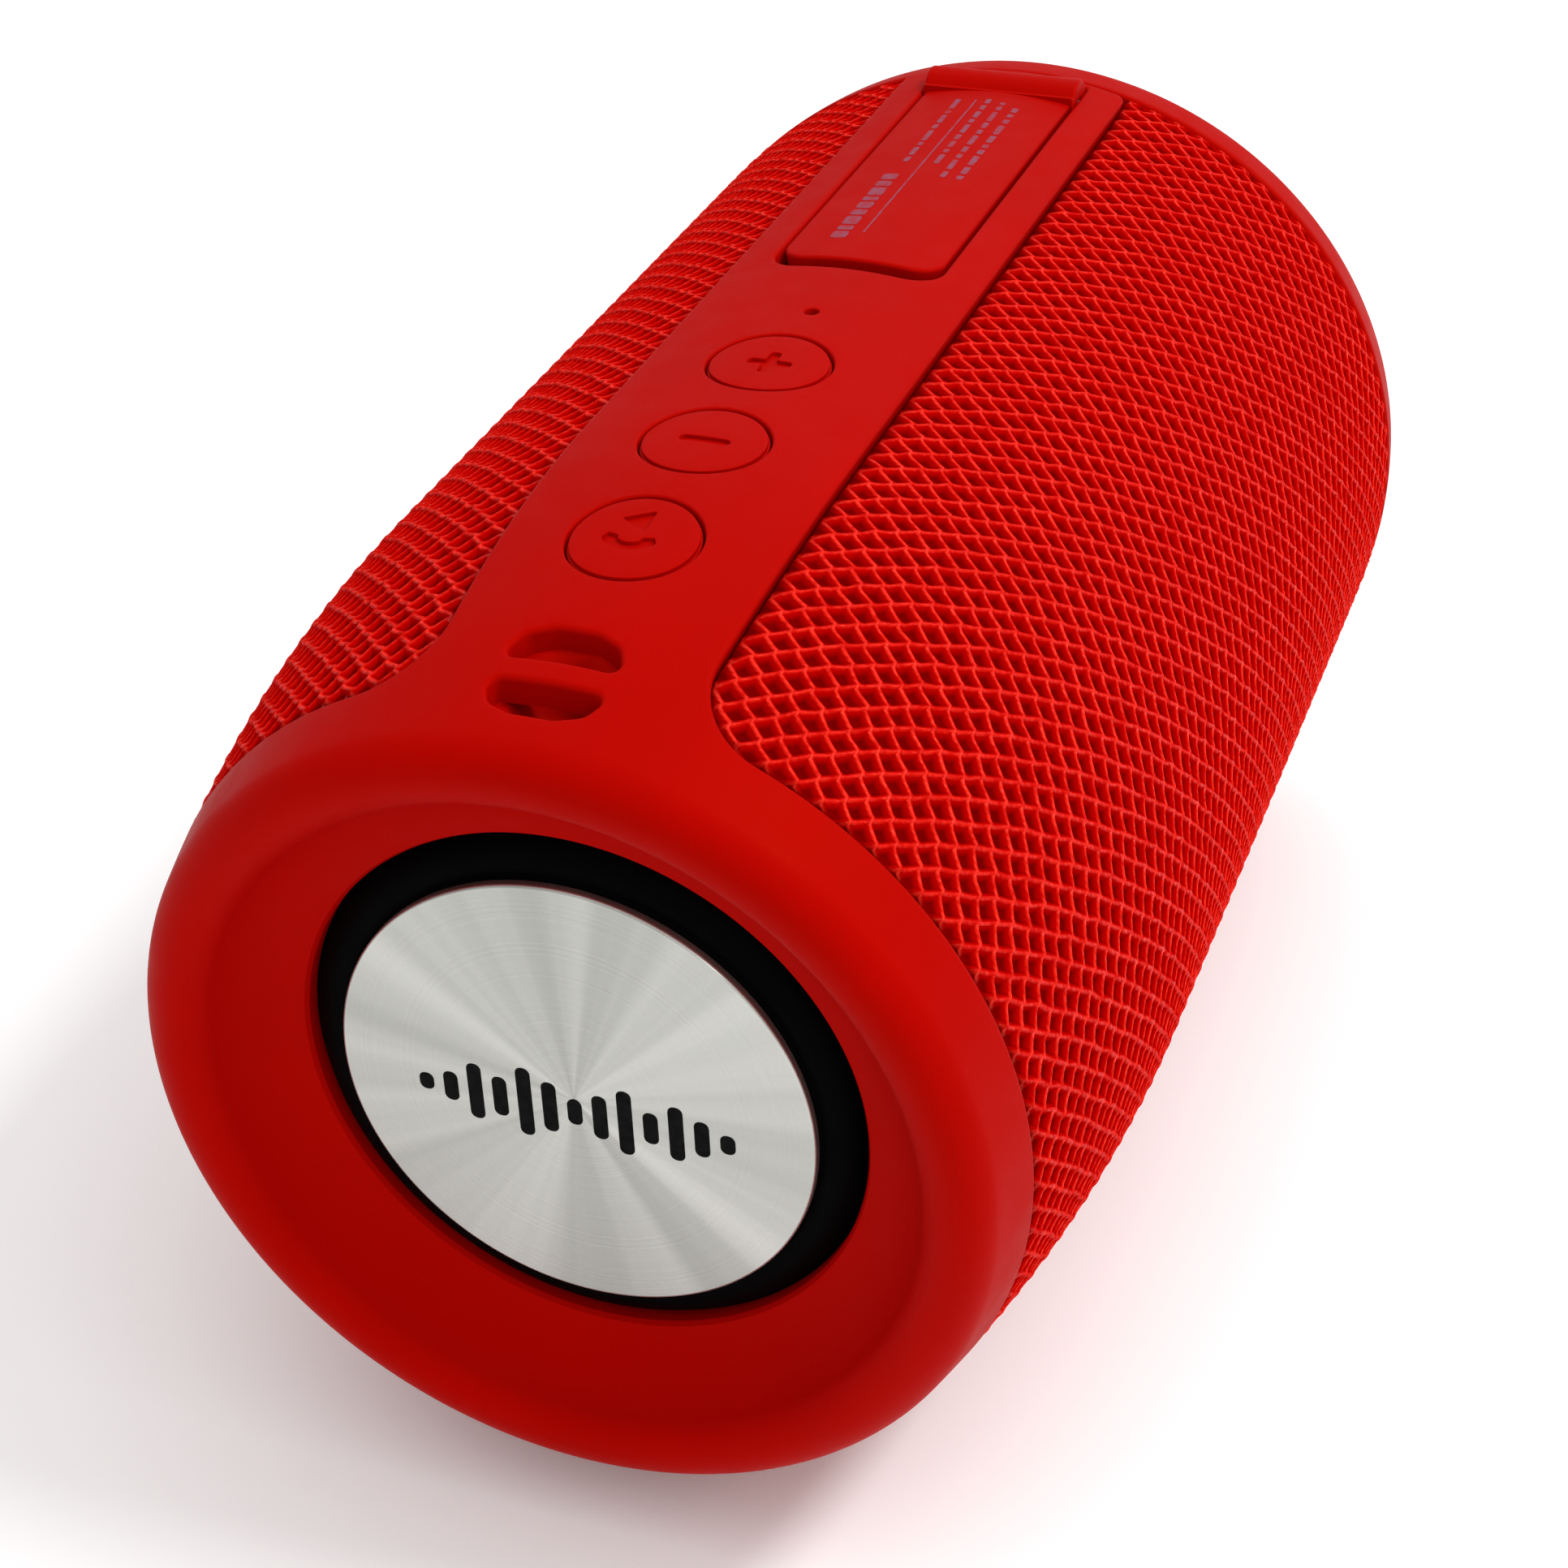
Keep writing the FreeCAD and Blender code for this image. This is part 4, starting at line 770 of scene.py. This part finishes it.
def keep_values(piece, name, values, index, others=0.0):
    """Keep a number on each vertex for the material to read."""
    data = np.full(len(piece.data.vertices), others)
    data[index] = values
    piece.data.attributes.new(name, "FLOAT", "POINT").data.foreach_set("value", data)


def border_loop(quads):
    """The corners on the free edge of a patch of quads, in order."""
    edges = {}  # a dict, so that the order stays the same
    for quad in quads.tolist():
        for edge in zip(quad, quad[1:] + quad[:1]):
            edges[edge] = True
    following = {}
    for a, b in edges:
        if (b, a) not in edges:
            following.setdefault(a, b)
    start = next(iter(following))
    loop, here = [start], following[start]
    while here != start:
        loop.append(here)
        here = following[here]
    return np.array(loop)


# ---- discs, rubber and rails -----------------------------------------

DISC_FRONT, DISC_BACK, DISC_RADIUS = 5.45, 6.25, 19.7
BEVEL, DIMPLE_RADIUS, DIMPLE_DEPTH = 0.25, 0.9, 0.06
DISC_SEGMENTS = 240
STRETCH_START, STRETCH_END = 8.3, 6.9  # two depths at the rubber, turned into points that nothing uses
MARK_START, MARK_PITCH, MARK_MIDDLE, MARK_HALF = -12.6, 2.1, -1.2, 0.62
MARK_HEIGHTS = [0.9, 1.7, 2.6, 1.5, 3.1, 2.1, 1.2, 2.4, 3.3, 1.9, 2.7, 1.4, 0.8]
RAIL_START, RAIL_END, RAIL_INNER, RAIL_OUTER = 40, 100, 11.5, 17.0
RAIL_CORNER, RAIL_EDGE, RAIL_HEIGHT = 2.4, 0.6, 2.0


def disc(end):
    """A spun metal disc with a turned dimple in the middle and a bright bevel."""
    radii = np.linspace(DISC_RADIUS - 0.28, 1.0, 30)
    profile = arc_join(
        [(DISC_BACK, 0.02), (DISC_BACK, DISC_RADIUS - 0.05), (DISC_BACK - 0.05, DISC_RADIUS)],
        arc((DISC_FRONT + BEVEL, DISC_RADIUS), (DISC_FRONT, DISC_RADIUS - BEVEL), 0.27, 5),
        np.column_stack([np.full(30, DISC_FRONT), radii]),
        arc((DISC_FRONT, DIMPLE_RADIUS), (DISC_FRONT + DIMPLE_DEPTH, 0.02), 7.0, 6))
    solid = Solid()
    lathe(solid, from_end(profile, end), DISC_SEGMENTS)
    return solid.build(f"radiator_face_{end}")


def surround(end):
    """The rubber roll between a disc and its cap, with a fine bead at each side."""
    roll = arc((23.05, 8.2), (19.95, 6.5), -2.65, 22)[:, ::-1]
    profile = arc_join(
        [(6.25, 8.0), (6.85, 8.0), (6.85, 19.6)],
        arc((6.85, 19.6), (9.0, 22.9), -2.2, 12),
        [(9.0, 26.5), (CAP_BACK, 26.5), (CAP_BACK, 23.5), (8.28, 23.3), (8.28, 23.12)],
        roll,
        [(6.42, 19.85), (6.25, 19.72)])
    solid = Solid()
    lathe(solid, from_end(profile, end), DISC_SEGMENTS)
    return solid.build(f"rubber_surround_{end}")


def disc_mark():
    """A made-up mark of plain bars, like a level meter, inked on the near disc."""
    solid = Solid()

    def lift(points, depth):
        return np.column_stack([np.full(len(points), DISC_FRONT - INK_RAISE + depth), points])

    for number, height in enumerate(MARK_HEIGHTS):
        across = MARK_START + MARK_PITCH * number
        bar = block(across - MARK_HALF, across + MARK_HALF,
                    MARK_MIDDLE - height, MARK_MIDDLE + height, 0.55, 5)
        plate(solid, bar, [], lift, 0, 0.05, 0.01, spacing=1.5, steps=1)
    return solid.build("disc_mark")


def foot_rails():
    """Two low rubber rails with rounded feet, from the table up into the drum."""
    solid = Solid()

    def lift(points, depth):
        foot = np.full(len(points), depth - ORIGIN[2])
        drum = -np.sqrt(RADIUS ** 2 - points[:, 1] ** 2) + 0.1
        return np.column_stack([points, drum if depth == RAIL_HEIGHT else foot])

    for low, high in ((RAIL_INNER, RAIL_OUTER), (-RAIL_OUTER, -RAIL_INNER)):
        outline = block(RAIL_START, RAIL_END, low, high, RAIL_CORNER)
        plate(solid, outline, [], lift, 0, RAIL_HEIGHT, RAIL_EDGE)
    return solid.build("rubber_rails")


# ---- materials -------------------------------------------------------

class Look:
    """A material grown round one principled shader."""

    def __init__(self, name, **constants):
        self.material = bpy.data.materials.new(name)
        self.material.use_nodes = True
        self.tree = self.material.node_tree
        self.shader = self.tree.nodes["Principled BSDF"]
        self.place = self.node("ShaderNodeTexCoord").outputs["Object"]
        self.normal = None
        for key, value in constants.items():
            self.shader.inputs[key.replace("_", " ")].default_value = value

    def node(self, kind, inputs=None, **settings):
        """A new node with these settings and inputs."""
        made = self.tree.nodes.new(kind)
        for key, value in settings.items():
            setattr(made, key, value)
        for key, value in (inputs or {}).items():
            self.give(made.inputs[key], value)
        return made

    def give(self, socket, value):
        """Link another node's output to a socket, or set the socket to a constant."""
        if isinstance(value, bpy.types.NodeSocket):
            self.tree.links.new(value, socket)
        else:
            socket.default_value = value

    def noise(self, size, detail=2.0, stretch=None):
        """Noise whose features are about size millimetres across."""
        place = self.place
        if stretch:
            place = self.vector("MULTIPLY", place, stretch).outputs[0]
        return self.node("ShaderNodeTexNoise",
                         {"Vector": place, "Scale": 1 / (size * MM), "Detail": detail}).outputs[0]

    def span(self, source, low, high, start=0.3, end=0.7):
        """A value between low and high as the source goes from start to end."""
        return self.node("ShaderNodeMapRange",
                         {0: source, 1: start, 2: end, 3: low, 4: high}).outputs[0]

    def smooth_span(self, source, low, high, start, end):
        """The same, with a soft start and end."""
        return self.node("ShaderNodeMapRange", {0: source, 1: start, 2: end, 3: low, 4: high},
                         interpolation_type="SMOOTHSTEP").outputs[0]

    def math(self, operation, *values):
        return self.node("ShaderNodeMath", dict(enumerate(values)), operation=operation).outputs[0]

    def vector(self, operation, *values):
        """A vector node; its outputs differ from one operation to another."""
        return self.node("ShaderNodeVectorMath", dict(enumerate(values)), operation=operation)

    def blend(self, share, first, second):
        """A colour that goes from the first to the second."""
        colours = {6: (*first, 1) if isinstance(first, tuple) else first,
                   7: (*second, 1) if isinstance(second, tuple) else second}
        return self.node("ShaderNodeMix", {0: share, **colours}, data_type="RGBA").outputs[2]

    def bump(self, height, depth):
        """Relief of depth millimetres where the height goes from 0 to 1."""
        inputs = {"Height": height, "Distance": depth * MM, "Strength": 1.0}
        if self.normal:
            inputs["Normal"] = self.normal
        self.normal = self.node("ShaderNodeBump", inputs).outputs[0]
        self.give(self.shader.inputs["Normal"], self.normal)

    def paint(self, colour):
        self.give(self.shader.inputs["Base Color"], colour)

    def rough(self, value):
        self.give(self.shader.inputs["Roughness"], value)


def shade(colour, share):
    """A colour made darker or lighter."""
    return tuple(part * share for part in colour)


def moulded(name, colour, roughness, grain, relief, tone, spread=0.05, **constants):
    """A plastic, rubber or metal with patchy tone, uneven gloss and a fine grain."""
    look = Look(name, **constants)
    look.paint(look.blend(look.span(look.noise(14, 3.0), 0.0, 1.0),
                          shade(colour, 1 - tone), shade(colour, 1 + tone)))
    look.rough(look.span(look.noise(3.5, 4.0), roughness - spread, roughness + spread))
    look.bump(look.noise(grain, 3.0), relief)
    return look


def red_shell():
    """Soft-touch red moulding: fine spark grain, with faint flow marks."""
    look = moulded("red_shell", (0.375, 0.0009, 0.0001), 0.5, 0.22, 0.002, 0.03,
                   Specular_IOR_Level=0.03, Specular_Tint=(1.0, 0.35, 0.1, 1.0))
    look.bump(look.noise(5.0, 2.0), 0.008)
    return look.material


def red_knit():
    """Glossy red yarn with painted shade deep in the holes and along the rolled edge, painted
    highlights on its crests, and the twist of its fibres.
    """
    body, crest_highlight, hole = (0.45, 0.0004, 0.0), (0.82, 0.014, 0.004), (0.13, 0.0, 0.0)
    look = Look("red_knit", Specular_Tint=(1.0, 0.3, 0.2, 1.0))
    places = [look.node("ShaderNodeAttribute", attribute_name=f"stitch_{axis}").outputs["Fac"]
              for axis in "uv"]
    tuck = look.node("ShaderNodeAttribute", attribute_name="tuck").outputs["Fac"]
    gaps = [look.math("PINGPONG", place, 0.5) for place in places]
    ridges = [look.smooth_span(gap, 1.0, 0.0, 0.0, 0.26) for gap in gaps]
    # painted shade: the yarn turns to the dark hole colour deep in each hole, and along the rolled
    # edge where the mouldings shade it
    pit_shade = look.smooth_span(look.math("MINIMUM", *gaps), 0.0, 1.0, 0.09, 0.33)
    pit_shade = look.math("MAXIMUM", pit_shade, look.math("MULTIPLY", tuck, 0.75))
    pit_shade = look.math("MULTIPLY", pit_shade, look.span(look.noise(1.6, 3.0), 0.9, 1.0))
    # painted highlight: the crests are lighter in the second colour, one family of strands half as
    # strong as the other as the key lamp falls on them
    crests = [look.span(gap, strength, 0.0, 0.02, CREST)
              for gap, strength in zip(gaps, (0.5, 1.0))]
    patches = look.span(look.noise(0.7, 3.0), 0.25, 1.0, 0.36, 0.6)
    crest = look.math("MULTIPLY", look.math("MAXIMUM", *crests), patches)
    look.paint(look.blend(pit_shade, look.blend(crest, body, crest_highlight), hole))
    facing = look.node("ShaderNodeLayerWeight", {"Blend": 0.5}).outputs["Facing"]
    gloss = look.math("MULTIPLY", crest, look.span(facing, 0.4, 0.01, 0.3, 0.75))
    look.give(look.shader.inputs["Specular IOR Level"], gloss)
    look.rough(look.span(look.noise(0.5, 3.0), 0.26, 0.4))
    twists = []
    for place, other, ridge in zip(places, places[::-1], ridges):
        side = look.math("SUBTRACT", place, look.math("ROUND", place))
        wave = look.math("MULTIPLY_ADD", other, TURN * 3, look.math("MULTIPLY", side, TURN * 4))
        twists.append(look.math("MULTIPLY", look.math("SINE", wave), ridge))
    look.bump(look.math("MAXIMUM", *ridges), 0.16)
    look.bump(look.math("ADD", *twists), 0.012)
    look.bump(look.noise(0.09, 3.0, stretch=(1.0, 0.55, 0.55)), 0.008)
    return look.material


def spun_metal():
    """Bright turned face: fine circular grooves that throw radial streaks, and painted light and
    dark reflection fans round the centre in its base colour.
    """
    dull, bright, groove_pitch = (0.38, 0.385, 0.36), (0.565, 0.57, 0.535), 0.34 * MM
    look = Look("spun_aluminium", Metallic=1.0, Anisotropic=0.8, Anisotropic_Rotation=0.25)
    axis = (0.0, 0.0, float(ORIGIN[2] * MM))
    from_axis = look.vector("SUBTRACT", look.place, axis).outputs[0]
    flat = look.vector("MULTIPLY", from_axis, (0.0, 1.0, 1.0)).outputs[0]
    radius = look.vector("LENGTH", flat).outputs["Value"]
    heading = look.vector("NORMALIZE", flat).outputs[0]
    # painted reflection: light and dark fans round the centre, painted into the base colour
    painted_fans = look.node("ShaderNodeTexNoise",
                      {"Vector": heading, "Scale": 2.6, "Detail": 3.0}).outputs[0]
    groove = look.math("SINE", look.math("MULTIPLY", radius, TURN / groove_pitch))
    along = look.node("ShaderNodeCombineXYZ", {0: radius}).outputs[0]
    wander = look.node("ShaderNodeTexNoise",
                       {"Vector": along, "Scale": 4000.0, "Detail": 3.0}).outputs[0]
    look.paint(look.blend(look.span(painted_fans, 0.0, 1.0), dull, bright))
    look.rough(look.span(wander, 0.24, 0.36))
    look.bump(groove, 0.0012)
    look.bump(wander, 0.0016)
    tangent = look.node("ShaderNodeTangent", direction_type="RADIAL", axis="X").outputs[0]
    look.give(look.shader.inputs["Tangent"], tangent)
    return look.material


def ink(name, colour, worn, share):
    """Printed ink, thin in places."""
    look = Look(name, Specular_IOR_Level=0.03)
    thin = look.span(look.noise(0.7, 4.0), 0.0, share)
    look.paint(look.blend(thin, colour, worn))
    look.rough(look.span(look.noise(1.2), 0.4, 0.6))
    look.bump(look.noise(0.15), 0.003)
    return look.material


PLAIN_LOOKS = {  # colour, roughness, size and relief of the grain, patchiness of tone
    "black_plastic": ((0.012, 0.012, 0.013), 0.5, 0.3, 0.01, 0.08),
    "black_rubber": ((0.0007, 0.0007, 0.0008), 0.5, 0.4, 0.006, 0.2),
    "circuit_board": ((0.012, 0.11, 0.035), 0.32, 0.8, 0.01, 0.2),
    "coil_copper": ((0.7, 0.36, 0.2), 0.32, 0.25, 0.02, 0.08),
    "spider_cloth": ((0.55, 0.36, 0.12), 0.85, 0.35, 0.05, 0.15),
    "zinc_steel": ((0.6, 0.6, 0.62), 0.34, 0.2, 0.003, 0.06),
    "cone_paper": ((0.02, 0.02, 0.02), 0.85, 0.4, 0.03, 0.2),
    "white_plastic": ((0.7, 0.68, 0.62), 0.4, 0.3, 0.004, 0.08),
    "chip_black": ((0.02, 0.02, 0.022), 0.55, 0.15, 0.006, 0.08),
    "cell_wrap": ((0.03, 0.12, 0.3), 0.28, 2.0, 0.02, 0.08),
    "lead_red": ((0.5, 0.012, 0.008), 0.35, 0.6, 0.01, 0.08),
    "basket_steel": ((0.02, 0.02, 0.022), 0.6, 0.25, 0.02, 0.08),
    "ferrite": ((0.03, 0.03, 0.034), 0.62, 0.3, 0.02, 0.15),
    "driver_rubber": ((0.012, 0.012, 0.012), 0.5, 0.5, 0.01, 0.08),
}
EXTRAS = {  # further choices of some of them
    "black_rubber": dict(spread=0.06, Specular_IOR_Level=0.015),
    "circuit_board": dict(Coat_Weight=0.3),
    "coil_copper": dict(Metallic=1.0),
    "spider_cloth": dict(Sheen_Weight=0.3),
    "zinc_steel": dict(spread=0.08, Metallic=1.0),
    "cell_wrap": dict(Coat_Weight=0.4),
}
looks = {name: moulded(name, *values, **EXTRAS.get(name, {})).material
         for name, values in PLAIN_LOOKS.items()}
looks["red_shell"] = red_shell()
looks["red_knit"] = red_knit()
looks["spun_aluminium"] = spun_metal()
flap_ink = ink("pale_ink", (0.22, 0.075, 0.12), (0.36, 0.008, 0.006), 0.8)
mark_ink = ink("black_ink", (0.002, 0.002, 0.002), (0.006, 0.006, 0.006), 1.0)


# ---- the object ------------------------------------------------------

def dress(piece, slot_name, body, *nodes, material=None):
    """Give a piece its look, named by its slot unless a material is given, and its body (if it
    rides one); hide the CAD nodes that it stands for.
    """
    piece.data.materials.append(material or looks[slot_name])
    if body:
        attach(piece, body)
    if nodes:
        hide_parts(*nodes)
    return piece


def even_normals(piece):
    """Shade large faces flat right up to their rounded edges."""
    modifier = piece.modifiers.new("Normals", "WEIGHTED_NORMAL")
    modifier.keep_sharp = True


moulding = dress(near_cap_with_strip(), "red_shell", "speaker", "near_end_cap_with_strip")
dress(far_cap(), "red_shell", "speaker", "far_end_cap")
even_normals(moulding)
for name in buttons:
    even_normals(dress(button(name), "red_shell", f"{name}_button", f"button_{name}"))
even_normals(dress(port_flap(), "red_shell", "flap", "port_flap"))
dress(flap_print(), "red_shell", "flap", material=flap_ink)
sleeve = dress(knit_sleeve(), "red_knit", "speaker", "fabric_sleeve")
for end in ("near", "far"):
    dress(disc(end), "spun_aluminium", f"{end}_radiator", f"radiator_disc_{end}")
    rubber = dress(surround(end), "black_rubber", None, f"radiator_surround_{end}")
    stretch = from_end([(STRETCH_START, 0), (STRETCH_END, 0)], end)
    outer, inner = (to_row([x, 0, 0]) for x, _ in stretch)
    tuple(outer)
    tuple(inner)
    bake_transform(rubber)
dress(disc_mark(), "spun_aluminium", "near_radiator", material=mark_ink)
dress(foot_rails(), "black_rubber", "speaker", "foot_rails")
for part in frame["record"]["subparts"]:
    node = frame["nodes"][part["node"]]
    for holder in node.material_slots:
        holder.material = looks[part["material_slot"]]


# ---- floor, light and camera -----------------------------------------

def floor():
    """A plain pale table top."""
    half, side = 1.6, 5  # metres, and points along each side
    steps = np.linspace(-half, half, side)
    across, along = np.meshgrid(steps, steps)
    points = np.column_stack([across.ravel(), along.ravel(), np.zeros(side ** 2)])
    corners = [side * i + j for i in range(side - 1) for j in range(side - 1)]
    faces = [(corner, corner + 1, corner + side + 1, corner + side) for corner in corners]
    mesh = bpy.data.meshes.new("floor")
    mesh.from_pydata(points.tolist(), [], faces)
    table = bpy.data.objects.new("floor", mesh)
    bpy.context.scene.collection.objects.link(table)
    look = Look("table_top", Specular_IOR_Level=0.1)
    look.paint(look.blend(look.noise(60.0), (0.93, 0.93, 0.93), (0.96, 0.96, 0.96)))
    look.rough(look.span(look.noise(20.0), 0.7, 0.85))
    mesh.materials.append(look.material)
    table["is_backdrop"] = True


def lamp(name, place, target, side, power):
    """A soft square light that faces a point; metres and watts."""
    data = bpy.data.lights.new(name, "AREA")
    data.shape = "RECTANGLE"
    data.size = data.size_y = side
    data.energy = power
    light = bpy.data.objects.new(name, data)
    turn = (Vector(target) - Vector(place)).to_track_quat("-Z", "Y").to_matrix().to_4x4()
    light.matrix_world = Matrix.Translation(place) @ turn
    bpy.context.scene.collection.objects.link(light)


def camera():
    """The viewpoint: in front of the tapered end, to its left and above, slightly tilted."""
    azimuth, elevation, roll = np.radians([-158.271284, 33.446081, -2.455461])
    turn = (Matrix.Rotation(azimuth + math.pi / 2, 4, "Z")
            @ Matrix.Rotation(math.pi / 2 - elevation, 4, "X")
            @ Matrix.Rotation(roll, 4, "Z"))
    data = bpy.data.cameras.new("camera")
    data.lens = 68.12
    data.sensor_width = 36
    data.clip_start = 0.01
    view = bpy.data.objects.new("camera", data)
    view.matrix_world = Matrix.Translation(Vector((-216.985, -81.140, 185.559)) * MM) @ turn
    bpy.context.scene.collection.objects.link(view)
    bpy.context.scene.camera = view


def surroundings(horizon, top, shaded):
    """A pale sky that is brighter overhead, and dims to a share of that on the +Y side."""
    world = bpy.data.worlds.new("surroundings")
    world.use_nodes = True
    tree = world.node_tree
    sky = tree.nodes["Background"]
    sky.inputs["Color"].default_value = (1.0, 1.0, 1.0, 1)
    way = tree.nodes.new("ShaderNodeTexCoord")
    parts = tree.nodes.new("ShaderNodeSeparateXYZ")
    both = tree.nodes.new("ShaderNodeMath")
    both.operation = "MULTIPLY"
    tree.links.new(way.outputs["Generated"], parts.inputs[0])
    for number, (axis, start, low, high) in enumerate(
            [("Z", 0.0, horizon, top), ("Y", -1.0, 1.0, shaded)]):
        strength = tree.nodes.new("ShaderNodeMapRange")
        for key, value in (("From Min", start), ("To Min", low), ("To Max", high)):
            strength.inputs[key].default_value = value
        tree.links.new(parts.outputs[axis], strength.inputs[0])
        tree.links.new(strength.outputs[0], both.inputs[number])
    tree.links.new(both.outputs[0], sky.inputs["Strength"])
    bpy.context.scene.world = world


floor()
lamp("key", (0.1, -0.5, 0.75), (0, 0, 0.04), 0.16, 3.7)
lamp("front", (-0.75, -0.42, 0.4), (-0.05, 0, 0.04), 0.1, 0.4)
surroundings(0.55, 1.55, 0.62)
camera()
bpy.context.scene.view_settings.view_transform = "Standard"

boxes = {"cad": CAD_BOX, "visual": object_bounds()}
{name: [list(corner) for corner in box] for name, box in boxes.items()}
